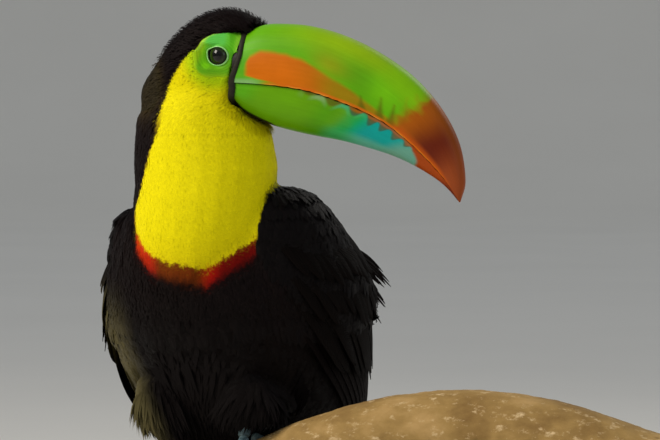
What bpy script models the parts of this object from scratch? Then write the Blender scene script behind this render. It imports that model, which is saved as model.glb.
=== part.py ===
"""A keel-billed toucan, life size, perched on a cut length of bough over a plain display stand.

Units are metres, +Z is up.  The bird faces -Y with its head turned to its own left, +X.
The origin is the middle of the stand's underside.  Sizes below are millimetres times MM.
"""
import math

import bmesh
import bpy
import numpy as np
from mathutils import Matrix, Vector

MM = 0.001
GAP = 0.35 * MM            # clearance between neighbouring pieces
SIDES = 24                 # facets round the trunk, neck and head
WING_SIDES = 18
TAIL_SIDES = 16
BOUGH_SIDES = 16

# Where the bird's own frame (middle of the trunk, X = 0) stands on the base
BIRD_AT = (-60 * MM, 60 * MM)

# Trunk: it leans a little to the bird's right
TRUNK_X = -4 * MM

# Wing: rings of the arm and its coverts, counted from the top, before the flight feathers begin
ARM_RINGS = 8

# Neck: one upright axis, which the head turns about
NECK_Y = -80 * MM
HEAD_TURN = math.radians(4.8)

# Bill
BILL_HALF_WIDTH = 19.5 * MM
BILL_SECTIONS = 15
LOWER_BILL_WIDTH = 0.94    # the lower half closes just inside the upper

# Eye
EYE_RADIUS = 6.6 * MM
EYE_AT = (16.8 * MM, 15.6 * MM, 419.8 * MM)

# Bough and feet
BOUGH_Y = -75 * MM
BOUGH_RADIUS = 24 * MM
BOUGH_FROM = -72 * MM
BOUGH_TO = 272 * MM
CREST_X = 160 * MM         # highest point of the bough
CREST_Z = 241 * MM
CREST_SPREAD = 530 * MM    # the arch drops by distance squared over this
FOOT_X = {"left": 22 * MM, "right": -22 * MM}
PAD_LIFT = 1.4 * MM        # the pad of the foot stands this much higher than the toes
SHANK_HEIGHT = 17 * MM     # bare shank showing below the thigh
TOE_RADIUS = 2.8 * MM
# Toe: first and last angle round the bough in degrees, sideways set at root and end in mm
TOES = (
    ("inner_front", 12, 78, 3.2, 5.5), ("outer_front", 12, 88, -3.2, -7.0),
    ("inner_back", -12, -58, 3.2, 6.0), ("outer_back", -12, -74, -3.2, -6.5),
)
CLAW_LENGTH = 9 * MM

# Stand
BASE_SIZE = (250 * MM, 170 * MM, 15 * MM)
BASE_CORNER = 22 * MM
BASE_EDGE = 2 * MM
ROD_RADIUS = 5 * MM
ROD_X = (5 * MM, 128 * MM)
ROD_DEPTH_IN_BOUGH = 12 * MM

COLOURS = {
    "black_plumage": ((0.012, 0.008, 0.009), 0.55),
    "yellow_plumage": ((0.75, 0.60, 0.01), 0.7),
    "green_horn": ((0.15, 0.42, 0.01), 0.35),
    "dark_eye": ((0.02, 0.025, 0.018), 0.1),
    "blue_skin": ((0.16, 0.23, 0.25), 0.6),
    "dark_claw": ((0.03, 0.03, 0.03), 0.4),
    "bark": ((0.32, 0.24, 0.14), 0.9),
    "stand_black": ((0.02, 0.02, 0.022), 0.4),
    "rod_steel": ((0.5, 0.5, 0.5), 0.3),
}


def clear_scene():
    for item in list(bpy.data.objects):
        bpy.data.objects.remove(item, do_unlink=True)


def new_collection(name):
    collection = bpy.data.collections.new(name)
    bpy.context.scene.collection.children.link(collection)
    return collection


def move_to_toucan(piece):
    for holder in list(piece.users_collection):
        holder.objects.unlink(piece)
    toucan.objects.link(piece)


def finish_material(name):
    """One Principled material for each finish."""
    if name in bpy.data.materials:
        return bpy.data.materials[name]
    colour, roughness = COLOURS[name]
    material = bpy.data.materials.new(name)
    material.use_nodes = True
    shader = material.node_tree.nodes["Principled BSDF"]
    shader.inputs["Base Color"].default_value = (*colour, 1.0)
    shader.inputs["Roughness"].default_value = roughness
    shader.inputs["Metallic"].default_value = 1.0 if name == "rod_steel" else 0.0
    return material


def new_piece(name, bm, finish, parent=None):
    """Turn a bmesh into a named, smooth-shaded object of the toucan's collection."""
    bmesh.ops.recalc_face_normals(bm, faces=bm.faces)
    mesh = bpy.data.meshes.new(name)
    bm.to_mesh(mesh)
    bm.free()
    mesh.materials.append(finish_material(finish))
    mesh.shade_smooth()
    piece = bpy.data.objects.new(name, mesh)
    toucan.objects.link(piece)
    piece.parent = parent
    return piece


def smooth_stations(stations, count):
    """Catmull-Rom curve through a short list of stations, read at evenly spaced places."""
    points = np.array(stations, float)
    padded = np.vstack([2 * points[0] - points[1], points, 2 * points[-1] - points[-2]])
    result = []
    for place in np.linspace(0, len(points) - 1, count):
        i = min(int(place), len(points) - 2)
        t = place - i
        a, b, c, d = padded[i:i + 4]
        result.append(0.5 * (2 * b + (c - a) * t + (2 * a - 5 * b + 4 * c - d) * t ** 2
                             + (3 * b - a - 3 * c + d) * t ** 3))
    return np.array(result)


def loft(name, rings, finish, parent=None):
    """Skin closed rings of equal length into one closed body with flat ends."""
    bm = bmesh.new()
    loops = [[bm.verts.new(point) for point in ring] for ring in rings]
    for first, second in zip(loops, loops[1:]):
        for i in range(len(first)):
            j = (i + 1) % len(first)
            bm.faces.new((first[i], first[j], second[j], second[i]))
    bm.faces.new(loops[0])
    bm.faces.new(loops[-1])
    return new_piece(name, bm, finish, parent)


def oval(centre, across, along, sides=SIDES, squareness=1.0):
    """A closed ring: centre plus two half axes, fuller at the corners below squareness 1."""
    ring = []
    for i in range(sides):
        angle = 2 * math.pi * i / sides
        c = math.copysign(abs(math.cos(angle)) ** squareness, math.cos(angle))
        s = math.copysign(abs(math.sin(angle)) ** squareness, math.sin(angle))
        ring.append(centre + across * c + along * s)
    return ring


def tube(name, path, radii, finish, parent=None, sides=8):
    """A limb: round rings square to a smooth path, carried along it without a twist."""
    path = [Vector(point) for point in path]
    side = (path[1] - path[0]).orthogonal()
    rings = []
    for i, (point, radius) in enumerate(zip(path, radii)):
        tangent = (path[min(i + 1, len(path) - 1)] - path[max(i - 1, 0)]).normalized()
        side = (side - tangent * side.dot(tangent)).normalized()
        rings.append(oval(point, side * radius, tangent.cross(side) * radius, sides))
    return loft(name, rings, finish, parent)


def keep_clear(piece, *neighbours):
    """Cut a piece back from its neighbours, leaving the gap."""
    for neighbour in neighbours:
        name = "room_for_" + neighbour.name
        cutter = bpy.data.objects.get(name)
        if cutter is None:
            bm = bmesh.new()
            bm.from_mesh(neighbour.data)
            bm.normal_update()
            moves = [v.normal * GAP * min(v.calc_shell_factor(), 2.5) for v in bm.verts]
            for v, move in zip(bm.verts, moves):
                v.co += move
            mesh = bpy.data.meshes.new(name)
            bm.to_mesh(mesh)
            bm.free()
            cutter = bpy.data.objects.new(name, mesh)
            cutters.objects.link(cutter)
            cutter.parent = neighbour.parent
            cutter.matrix_basis = neighbour.matrix_basis
            cutter.hide_render = True
            cutter.display_type = 'WIRE'
        cut = piece.modifiers.new("clear of " + neighbour.name, 'BOOLEAN')
        cut.operation = 'DIFFERENCE'
        cut.solver = 'EXACT'
        cut.object = cutter


# ---------------------------------------------------------------- trunk, neck and head

def make_trunk():
    """Upright trunk, from the neck's foot down and back to the vent.

    A station is y, z, half width, half depth in front, half depth behind."""
    stations = [
        (-80, 352, 22, 20, 22), (-78, 343, 37, 34, 37), (-73, 328, 49, 45.5, 46.5),
        (-62, 304, 64.5, 55, 53), (-46, 277, 68, 57, 54), (-28, 250, 68.5, 53, 51),
        (-11, 226, 65, 44, 46), (6, 203, 56, 34, 39), (21, 183, 44, 24, 31),
        (34, 166, 30, 16, 21), (48, 148, 20, 10, 13), (64, 126, 14, 6, 8), (76, 110, 6, 3, 4),
    ]
    path = smooth_stations(stations, 23) * MM
    rings = []
    for i, (y, z, width, front, back) in enumerate(path):
        before, after = path[max(i - 1, 0)], path[min(i + 1, len(path) - 1)]
        down = Vector((0, after[0] - before[0], after[1] - before[1])).normalized()
        level = min(1.0, i / 5)
        down = down.lerp(Vector((0, 0, -1)), 1 - level).normalized()
        backward = Vector((1, 0, 0)).cross(down)
        middle = Vector((TRUNK_X, y, z)) + backward * (back - front) / 2
        rings.append(oval(middle, Vector((width, 0, 0)), backward * (front + back) / 2))
    return loft("trunk", rings, "black_plumage", bird)


def make_neck():
    """Thick feathered neck. A station is the centre forward of the axis, z,
    half length along the head's heading, half width across it, and how much the
    throat narrows in front, under the bill."""
    stations = [
        (-2, 412, 22, 17, 3), (-0.5, 404, 30, 24, 8), (0, 394, 35.5, 28.5, 13),
        (-0.2, 384, 38, 31.5, 12), (1, 366, 40.6, 35, 5), (1.2, 348, 40, 38, 0),
        (-0.5, 332, 40.2, 39, 0), (-2.5, 316, 39, 38.5, 0), (-3, 300, 36, 36, 0), (-3, 286, 30, 30, 0),
    ]
    rings = []
    for x, z, length, width, pinch in smooth_stations(stations, 14) * MM:
        ring = []
        for point in oval(Vector((0, 0, z)), Vector((1, 0, 0)), Vector((0, 1, 0))):
            narrowed = width - pinch * max(point.x, 0) ** 2
            ring.append(Vector((x + length * point.x, narrowed * point.y, z)))
        rings.append(ring)
    return loft("neck", rings, "yellow_plumage", head_turn)


def make_head():
    """Head from the nape to the feather edge at the bill. A station is x, the heights of
    crown and throat, and the half width."""
    stations = [
        (-35.5, 403, 392, 6), (-31.5, 409.5, 386, 14), (-24.5, 418, 384, 20), (-14, 432, 383, 24),
        (-2, 441.5, 383, 26), (9, 445.7, 384, 24.5), (18, 446.3, 385.5, 21.3),
        (27, 443.6, 388, 19.6), (35, 438.8, 392, 16),
    ]
    rings = []
    for x, top, bottom, width in smooth_stations(stations, 15) * MM:
        centre = Vector((x, 0, (top + bottom) / 2))
        rings.append(oval(centre, Vector((0, width, 0)), Vector((0, 0, (top - bottom) / 2)),
                          squareness=0.9))
    return loft("head", rings, "black_plumage", head_turn)


def make_eye(side):
    """Eyeball sunk in the side of the head."""
    x, y, z = EYE_AT
    bm = bmesh.new()
    bmesh.ops.create_uvsphere(bm, u_segments=12, v_segments=8, radius=EYE_RADIUS)
    bmesh.ops.translate(bm, verts=bm.verts, vec=(x, y if side == "left" else -y, z))
    return new_piece("eye_" + side, bm, "dark_eye", head_turn)


# ---------------------------------------------------------------- bill

def bill_lines(count):
    """Culmen, cutting edge and keel of the bill, each as (x, z) at count places."""
    culmen = smooth_stations([
        (24.5, 431), (36, 436.8), (49, 437.5), (64, 436), (82, 431), (101, 422.3),
        (121, 409), (137, 392), (147.5, 373), (151.2, 353), (148.8, 341.5)], count) * MM
    edge = smooth_stations([
        (24.5, 405.5), (40, 404.6), (55, 403), (69, 400.5), (83, 396), (97, 390.5),
        (111, 383), (124, 372.5), (136, 360.5), (143.5, 350.5), (148.2, 341)], count) * MM
    keel = smooth_stations([
        (22, 394), (29, 387.5), (40, 382.8), (54, 379), (68, 376.2), (82, 373.8),
        (97, 370), (111, 365.8), (124, 360.2), (137, 352.5), (145, 345.4)], count) * MM
    return culmen, edge, keel


def bill_half_width(share):
    """Half width of the bill at the cutting edge, share 0 at the base and 1 at the tip."""
    return BILL_HALF_WIDTH * (1 - share ** 1.9) ** 0.85 + 0.6 * MM


def horn_ring(edge, ridge, width, roundness, sides):
    """One half of the bill in section: flat along the cutting edge, arched to the ridge."""
    ring = []
    up = Vector((ridge[0] - edge[0], 0, ridge[1] - edge[1]))
    for i in range(sides + 1):
        angle = math.pi * i / sides
        across = math.copysign(abs(math.cos(angle)) ** 0.75, math.cos(angle)) * width
        ring.append(Vector((edge[0], across, edge[1])) + up * math.sin(angle) ** roundness)
    return ring


def make_bill():
    culmen, edge, keel = bill_lines(BILL_SECTIONS)
    upper, lower = [], []
    for i in range(BILL_SECTIONS):
        width = bill_half_width(i / (BILL_SECTIONS - 1))
        upper.append(horn_ring(edge[i], culmen[i], width, 0.8, 14))
        top = edge[i] + (0, -GAP)
        if i < BILL_SECTIONS - 1:
            lower.append(horn_ring(top, keel[i], width * LOWER_BILL_WIDTH, 0.7, 12))
    return (loft("bill_upper", upper, "green_horn", head_turn),
            loft("bill_lower", lower, "green_horn", head_turn))


# ---------------------------------------------------------------- wings

def wing_rings(side, count=17):
    """The folded wing from the wrist's top to the tip of the longest primary.

    A station is z, the front edge x, y, the back edge x, y, how far the wing bows out
    round the trunk, and half its thickness."""
    stations = [
        (350, 37, -80, 43, -60, 1.5, 3), (344, 36, -89, 47, -42, 6.5, 7),
        (332, 37, -95, 48, -20, 11, 9), (318, 38, -97, 48, -2, 15, 9.5),
        (304, 41, -96, 48, 14, 19, 9.5), (289, 44.5, -92, 47, 25, 20, 9.5),
        (270, 50, -84, 40, 33, 20, 8.5), (250, 55, -69, 33, 41, 17, 7.5),
        (229, 57, -45, 26, 49, 14, 6), (205, 51, -16, 20, 57, 10, 4.5),
        (182, 40, 12, 16, 65, 6, 3.5), (160, 28, 38, 14, 72, 2, 2.5), (142, 17, 66, 13, 75, 0, 1),
    ]
    sign = 1 if side == "left" else -1
    rings = []
    for z, fx, fy, bx, by, bow, thick in smooth_stations(stations, count) * MM:
        away = 0.0
        if side == "right":
            away = 7 * MM + 19 * MM * math.exp(-((z - 214 * MM) / (34 * MM)) ** 2)
            z -= 13 * MM * min(1.0, max(0.0, (z - 250 * MM) / (70 * MM)))
        front = Vector((sign * (fx + away * 0.6), fy, z))
        back = Vector((sign * (bx + away * 0.8), by, z))
        chord = (back - front) / 2
        out = Vector((sign * chord.y, -sign * chord.x, 0)).normalized()
        ring = []
        for i in range(WING_SIDES):
            angle = 2 * math.pi * i / WING_SIDES
            along = -math.cos(angle)
            lift = bow * (1 - along ** 2) + thick * math.sin(angle)
            ring.append((front + back) / 2 + chord * along + out * lift)
        rings.append(ring)
    return rings


def make_wing(side):
    """Arm with its coverts above, flight feathers below, parted by a thin cut."""
    rings = wing_rings(side)
    arm = loft("wing_" + side, rings[:ARM_RINGS + 1], "black_plumage", bird)
    lowered = [point - Vector((0, 0, GAP)) for point in rings[ARM_RINGS]]
    flight = loft("flight_" + side, [lowered] + rings[ARM_RINGS + 1:], "black_plumage", bird)
    return arm, flight


def make_plume(name, root, tip, width, thick, face):
    """One large loose feather: a leaf-shaped blade from root to tip."""
    root, tip = Vector(root) * MM, Vector(tip) * MM
    run = tip - root
    across = run.cross(Vector(face)).normalized()
    through = across.cross(run).normalized()
    rings = []
    for share, breadth in ((0, 0.55), (0.25, 0.9), (0.5, 1.0), (0.75, 0.8), (0.9, 0.45), (1, 0.08)):
        centre = root + run * share
        rings.append(oval(centre, across * width * breadth * MM,
                          through * thick * (0.35 + 0.65 * breadth) * MM, sides=8))
    return loft(name, rings, "black_plumage", bird)


def make_ruffled_plumes():
    """Three ruffled feathers over the left elbow, overlapping and joined at their roots."""
    blades = (
        ("plumes_left", (53, -2, 311), (63, 30, 288), 9, 3.4),
        ("middle_plume", (53, 2, 301), (60, 32, 276.5), 8, 2.9),
        ("lower_plume", (52, 6, 291), (56, 33, 267.5), 8, 2.7),
    )
    outward = (1, 0.2, 0)
    upper, middle, lower = [make_plume(*blade, outward) for blade in blades]
    for plume in (middle, lower):
        toucan.objects.unlink(plume)
        cutters.objects.link(plume)
        plume.hide_render = True
        plume.display_type = 'WIRE'
        join = upper.modifiers.new("with " + plume.name, 'BOOLEAN')
        join.operation = 'UNION'
        join.solver = 'EXACT'
        join.object = plume
    return upper


# ---------------------------------------------------------------- tail

def make_tail():
    """Closed graduated tail: long lens sections, narrowing in steps to a round tip.

    A station is y, z, half width, half thickness."""
    stations = [(36, 163, 12, 6), (52, 143, 17, 6), (68, 122, 22, 5), (85, 99, 26, 4),
                (101, 77, 28, 3), (113, 60, 26, 2.4), (121, 48, 19, 1.8), (127, 40, 7, 1)]
    path = smooth_stations(stations, 13) * MM
    rings = []
    for i, (y, z, width, thick) in enumerate(path):
        before, after = path[max(i - 1, 0)], path[min(i + 1, len(path) - 1)]
        down = Vector((0, after[0] - before[0], after[1] - before[1])).normalized()
        through = Vector((1, 0, 0)).cross(down)
        ring = []
        for j in range(TAIL_SIDES):
            angle = 2 * math.pi * j / TAIL_SIDES
            crown = 0.10 * width * (1 - math.cos(angle) ** 2)
            ring.append(Vector((width * math.cos(angle), y, z))
                        + through * (thick * math.sin(angle) + crown))
        rings.append(ring)
    return loft("tail", rings, "black_plumage", bird)


# ---------------------------------------------------------------- bough, legs and feet

def bough_top(x):
    """Height of the bough's upper line: an arch that levels out under the bird."""
    arch = CREST_Z - (x - CREST_X) ** 2 / CREST_SPREAD
    level = 194 * MM + 0.10 * x
    softness = 3 * MM
    return softness * math.log(math.exp(arch / softness) + math.exp(level / softness))


def bough_radius(x):
    """The bough thins a little towards its far end and swells at an old knot."""
    knot = 1.6 * MM * math.exp(-((x - 88 * MM) / (16 * MM)) ** 2)
    return BOUGH_RADIUS * (1.0 - 0.35 * x) + knot


def bough_sway(x):
    """The bough isn't quite straight seen from above."""
    return BOUGH_Y + 5 * MM * math.sin((x - 20 * MM) / (75 * MM))


def on_bough(x, angle, clearance=0.0):
    """A point over the bough's surface; angle runs from the top towards the front."""
    reach = bough_radius(x) + clearance
    middle = bough_top(x) - bough_radius(x)
    return Vector((x, bough_sway(x) - math.sin(angle) * reach, middle + math.cos(angle) * reach))


def make_bough():
    rings = []
    for x in np.linspace(BOUGH_FROM, BOUGH_TO, 19):
        rings.append([on_bough(x, 2 * math.pi * i / BOUGH_SIDES) for i in range(BOUGH_SIDES)])
    return loft("perch", rings, "bark", bird)


def make_leg(side):
    """Feathered thigh, bare shank with the pad of the foot, four toes and four claws."""
    x = FOOT_X[side]
    pad = on_bough(x, 0, TOE_RADIUS + PAD_LIFT)
    hip = Vector((x * 1.3, -70 * MM, 244 * MM))
    ankle = pad + Vector((0, 1 * MM, SHANK_HEIGHT))
    knee_path = [hip.lerp(ankle, share) for share in (0, 0.25, 0.5, 0.75, 0.95)]
    thigh = tube("thigh_" + side, knee_path, [r * MM for r in (17, 21, 22, 18.5, 10)],
                 "black_plumage", bird, sides=14)
    shank_path = [pad.lerp(ankle, share) for share in (0.0, 0.12, 0.35, 0.6, 0.85)]
    shank = tube("shank_" + side, shank_path, [r * MM for r in (2.6, 3.9, 3.3, 3.1, 3.2)],
                 "blue_skin", bird, sides=10)
    toes = []
    inward = -1 if side == "left" else 1
    for name, start, end, near, far in TOES:
        path, radii = [], []
        for share in np.linspace(0, 1, 6):
            angle = math.radians(start + (end - start) * share)
            splay = (near + (far - near) * share) * MM * inward
            path.append(on_bough(x + splay, angle, TOE_RADIUS + GAP))
            knuckle = 0.25 * MM * math.cos(share * 6 * math.pi)
            radii.append(TOE_RADIUS * (1 - 0.22 * share) + knuckle)
        toe = tube("toe_%s_%s" % (name, side), path, radii, "blue_skin", bird)
        tip, before = path[-1], path[-2]
        heading = (tip - before).normalized()
        inside = (on_bough(tip.x, math.radians(end), 0) - tip).normalized()
        claw_path, claw_radii = [], []
        for share in (0, 0.35, 0.7, 1):
            claw_path.append(tip + heading * (2.5 * GAP + CLAW_LENGTH * share)
                             - inside * (1.3 * MM * math.sin(share * math.pi))
                             + inside * 1.4 * MM * share ** 2)
            claw_radii.append((1.9 - 1.6 * share) * MM)
        claw = tube("claw_%s_%s" % (name, side), claw_path, claw_radii, "dark_claw", bird, sides=5)
        toes.append((toe, claw))
    return thigh, shank, toes


# ---------------------------------------------------------------- stand

def make_stand():
    """Flat base with rounded corners and eased edges, and two rods up into the bough."""
    length, width, thick = BASE_SIZE
    bpy.ops.mesh.primitive_cube_add(size=1, location=(0, 0, thick / 2))
    base = bpy.context.object
    base.name = base.data.name = "stand_base"
    base.data.transform(Matrix.Diagonal((length, width, thick, 1)))
    bm = bmesh.new()
    bm.from_mesh(base.data)
    upright = [e for e in bm.edges if abs(e.verts[0].co.z - e.verts[1].co.z) > thick / 2]
    bmesh.ops.bevel(bm, geom=upright, offset=BASE_CORNER, segments=6, affect='EDGES',
                     profile=0.5)
    top_rim = [e for e in bm.edges if min(v.co.z for v in e.verts) > thick / 2 - MM
               and len({round(f.normal.z) for f in e.link_faces}) == 2]
    bmesh.ops.bevel(bm, geom=top_rim, offset=BASE_EDGE, segments=2, affect='EDGES',
                     profile=0.5)
    bm.to_mesh(base.data)
    bm.free()
    base.data.materials.append(finish_material("stand_black"))
    move_to_toucan(base)
    rods = []
    for number, x in enumerate(ROD_X, start=1):
        foot = thick + GAP
        head = bough_top(x) - 2 * bough_radius(x) + ROD_DEPTH_IN_BOUGH
        bpy.ops.mesh.primitive_cylinder_add(
            vertices=20, radius=ROD_RADIUS, depth=head - foot,
            location=(x + BIRD_AT[0], bough_sway(x) + BIRD_AT[1], (head + foot) / 2))
        rod = bpy.context.object
        rod.name = rod.data.name = "stand_rod_%d" % number
        rod.data.materials.append(finish_material("rod_steel"))
        rod.data.shade_smooth()
        rod.data.set_sharp_from_angle(angle=math.radians(40))
        move_to_toucan(rod)
        rods.append(rod)
    return base, rods


clear_scene()
toucan = new_collection("toucan")
cutters = new_collection("cutters")

bird = bpy.data.objects.new("bird_place", None)
bird.location = (*BIRD_AT, 0)
head_turn = bpy.data.objects.new("head_turn", None)
head_turn.parent = bird
head_turn.location = (0, NECK_Y, 0)
head_turn.rotation_euler = (0, 0, HEAD_TURN)
for empty in (bird, head_turn):
    toucan.objects.link(empty)

trunk = make_trunk()
neck = make_neck()
head = make_head()
eyes = [make_eye(side) for side in ("left", "right")]
bill_upper, bill_lower = make_bill()
bough = make_bough()
tail = make_tail()
base, rods = make_stand()
legs = {side: make_leg(side) for side in ("left", "right")}
wings = {side: make_wing(side) for side in ("left", "right")}
plumes = {"left": make_ruffled_plumes(),
          "right": make_plume("plumes_right", (-70, -50, 296), (-86, -36, 250), 9, 3.2, (1, 0, 0))}

keep_clear(head, bill_upper, bill_lower, *eyes)
keep_clear(neck, head, bill_lower, trunk)
keep_clear(trunk, bough)
keep_clear(tail, trunk)
for side, (thigh, shank, toes) in legs.items():
    keep_clear(thigh, trunk, shank, bough)
    for toe, claw in toes:
        keep_clear(shank, toe)
for side, (arm, flight) in wings.items():
    keep_clear(arm, trunk, neck)
    keep_clear(flight, trunk, tail, bough)
for side, plume in plumes.items():
    keep_clear(plume, *wings[side], trunk)
keep_clear(bough, *rods)
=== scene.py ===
"""Looks of the keel-billed toucan: a life-size display model gripping a cut length of bough.

Metres throughout, +Z up.  Shapes that belong to the bird are worked out in the bird's own
frame, in millimetres, and the head's in a frame that the head's turn carries.
"""

import math

import bmesh
import bpy
import numpy as np
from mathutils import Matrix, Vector, noise
from mathutils.bvhtree import BVHTree


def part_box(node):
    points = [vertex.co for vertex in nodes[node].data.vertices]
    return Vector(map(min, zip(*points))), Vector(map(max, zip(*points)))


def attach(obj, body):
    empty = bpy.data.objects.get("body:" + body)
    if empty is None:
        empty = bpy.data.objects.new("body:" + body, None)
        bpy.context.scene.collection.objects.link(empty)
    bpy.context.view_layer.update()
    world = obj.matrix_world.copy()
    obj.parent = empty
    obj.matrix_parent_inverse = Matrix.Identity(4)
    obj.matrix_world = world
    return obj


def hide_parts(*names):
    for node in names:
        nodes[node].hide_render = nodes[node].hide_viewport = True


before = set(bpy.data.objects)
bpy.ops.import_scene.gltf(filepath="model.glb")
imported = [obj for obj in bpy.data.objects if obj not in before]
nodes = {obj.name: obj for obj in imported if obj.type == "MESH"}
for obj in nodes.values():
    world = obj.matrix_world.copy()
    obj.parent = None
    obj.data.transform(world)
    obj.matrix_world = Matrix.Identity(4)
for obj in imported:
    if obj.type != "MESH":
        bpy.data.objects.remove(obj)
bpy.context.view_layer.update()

MM = 0.001
BIRD_AT = np.array((-0.060, 0.060, 0.0))
NECK = np.array((0.0, -80.0, 0.0))
HEAD_TURN = math.radians(4.8)
SIDES = ("left", "right")
MIRROR = {"left": 1, "right": -1}


# ---------------------------------------------------------------- small tools

def linear(hex_colour):
    """sRGB hex to linear red, green, blue, alpha."""
    channels = [int(hex_colour[i:i + 2], 16) / 255 for i in (1, 3, 5)]
    return [c / 12.92 if c <= 0.04045 else ((c + 0.055) / 1.055) ** 2.4 for c in channels] + [1.0]


def link(tree, node, links):
    """Feed other nodes' outputs into a node's sockets; a node stands for its first output."""
    for socket, source in links.items():
        output = source if hasattr(source, "is_linked") else source.outputs[0]
        tree.links.new(output, node.inputs[socket])


def add(tree, kind, values=None, links=None, **properties):
    """Add a shader node, set its properties and sockets, and link outputs to its inputs."""
    node = tree.nodes.new("ShaderNode" + kind)
    for name, value in properties.items():
        setattr(node, name, value)
    for socket, value in (values or {}).items():
        node.inputs[socket].default_value = value
    link(tree, node, links or {})
    return node


def new_material(name, **settings):
    """A material with its Principled shader set; returns material, tree and shader."""
    material = bpy.data.materials.new(name)
    material.use_nodes = True
    tree = material.node_tree
    shader = tree.nodes["Principled BSDF"]
    for socket, value in settings.items():
        shader.inputs[socket.replace("_", " ")].default_value = value
    return material, tree, shader


def set_ramp(ramp, stops):
    """Colours of a ramp from its (place, hex colour) stops, in order."""
    elements = ramp.color_ramp.elements
    for element, (place, colour) in zip(elements, (stops[0], stops[-1])):
        element.position = place
        element.color = linear(colour)
    for place, colour in stops[1:-1]:
        elements.new(place).color = linear(colour)


def two_tone_material(name, tones, kind, pattern, stretch=(1, 1, 1), relief=None, rough=None, **settings):
    """A finish that runs between two tones by a pattern in metres, which stretch draws out.

    The pattern may also give relief, as (strength, depth), and a range of roughness."""
    material, tree, shader = new_material(name, **settings)
    where = add(tree, 'TexCoord').outputs["Object"]
    drawn = add(tree, 'Mapping', {"Scale": stretch}, {"Vector": where})
    pattern = add(tree, kind, pattern, {"Vector": drawn})
    first, second = (linear(tone) for tone in tones)
    tint = add(tree, 'MixRGB', {"Color1": first, "Color2": second}, {"Fac": pattern})
    link(tree, shader, {"Base Color": tint})
    if relief:
        bump = add(tree, 'Bump', {"Strength": relief[0], "Distance": relief[1]}, {"Height": pattern})
        link(tree, shader, {"Normal": bump})
    if rough:
        spread = add(tree, 'MapRange', {"To Min": rough[0], "To Max": rough[1]}, {"Value": pattern})
        link(tree, shader, {"Roughness": spread})
    return material


def step(value, low, high):
    """Smooth step from 0 at low to 1 at high."""
    t = np.clip((np.asarray(value, float) - low) / (high - low), 0, 1)
    return t * t * (3 - 2 * t)


def fall(value, low, high):
    """Smooth step from 1 at low to 0 at high."""
    return 1 - step(value, low, high)


def bell(value, centre, width):
    """1 at the centre, fading to 0 on either side."""
    return np.exp(-((value - centre) / width) ** 2)


def plain(hex_colour, shape):
    """An array of points, all of one linear colour."""
    return np.tile(np.array(linear(hex_colour)[:3]), tuple(shape) + (1,))


def mix(base, over, weight):
    """Lay colours over an array of linear colours by weight."""
    weight = np.clip(weight, 0, 1)[..., None]
    return base * (1 - weight) + over * weight


def blend(base, *layers):
    """Lay (hex colour, weight) layers over an array of linear colours, one after the other."""
    for hex_colour, weight in layers:
        base = mix(base, np.array(linear(hex_colour)[:3]), weight)
    return base


def wobble(points, scale, seed=0.0):
    """Smooth noise between about -1 and 1 at each point."""
    offset = Vector((seed, seed * 1.7, -seed))
    return np.array([noise.noise(Vector(point) * scale + offset) for point in points])


def unit(vectors):
    return vectors / np.maximum(np.linalg.norm(vectors, axis=-1, keepdims=True), 1e-12)


def turned(points, angle):
    """Points or directions turned about the upright axis."""
    c, s = math.cos(angle), math.sin(angle)
    x, y, z = np.moveaxis(np.asarray(points, float), -1, 0)
    return np.stack([x * c - y * s, x * s + y * c, z], -1)


def bird_to_world(points):
    return np.asarray(points, float) * MM + BIRD_AT


def world_to_bird(points):
    return (np.asarray(points, float) - BIRD_AT) / MM


def head_to_world(points):
    """Head frame in mm to world metres."""
    return bird_to_world(turned(points, HEAD_TURN) + NECK)


def bird_to_head(points):
    """Bird frame in mm to head frame in mm: forward, left, up."""
    return turned(points - NECK, -HEAD_TURN)


def smooth_curve(stations, places):
    """Catmull-Rom curve through stations, read at places from 0 to 1."""
    points = np.array(stations, float)
    padded = np.vstack([2 * points[0] - points[1], points, 2 * points[-1] - points[-2]])
    at = np.clip(np.asarray(places, float), 0, 1) * (len(points) - 1)
    i = np.minimum(at.astype(int), len(points) - 2)
    t = (at - i)[..., None]
    a, b, c, d = padded[i], padded[i + 1], padded[i + 2], padded[i + 3]
    return 0.5 * (2 * b + (c - a) * t + (2 * a - 5 * b + 4 * c - d) * t ** 2
                  + (3 * b - a - 3 * c + d) * t ** 3)


def whole_turn(count):
    """Angles of a closed ring of points."""
    return np.linspace(0, 2 * math.pi, count, endpoint=False)


def select_only(*things):
    """Deselect everything, then select these and make the first one active."""
    bpy.ops.object.select_all(action='DESELECT')
    for thing in things:
        thing.select_set(True)
    bpy.context.view_layer.objects.active = things[0]


def apply_modifier(piece, kind, **settings):
    """Add a modifier to the active piece, set it and apply it."""
    modifier = piece.modifiers.new(kind, kind)
    for name, value in settings.items():
        setattr(modifier, name, value)
    bpy.ops.object.modifier_apply(modifier=modifier.name)


def read(mesh, what):
    """The places ("co") or directions ("normal") of a mesh's points."""
    values = np.empty(len(mesh.vertices) * 3, np.float32)
    mesh.vertices.foreach_get(what, values)
    return values.reshape(-1, 3).astype(float)


def move_points(mesh, points):
    mesh.vertices.foreach_set("co", points.astype(np.float32).ravel())


def paint(mesh, colour=None, **values):
    """Store a colour and named numbers on a mesh's points."""
    if colour is not None:
        layer = mesh.color_attributes.new("Marking", 'FLOAT_COLOR', 'POINT')
        rgba = np.ones((len(colour), 4), np.float32)
        rgba[:, :3] = colour
        layer.data.foreach_set("color", rgba.ravel())
    for name, numbers in values.items():
        layer = mesh.attributes.new(name, 'FLOAT', 'POINT')
        layer.data.foreach_set("value", np.asarray(numbers, np.float32))


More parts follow.
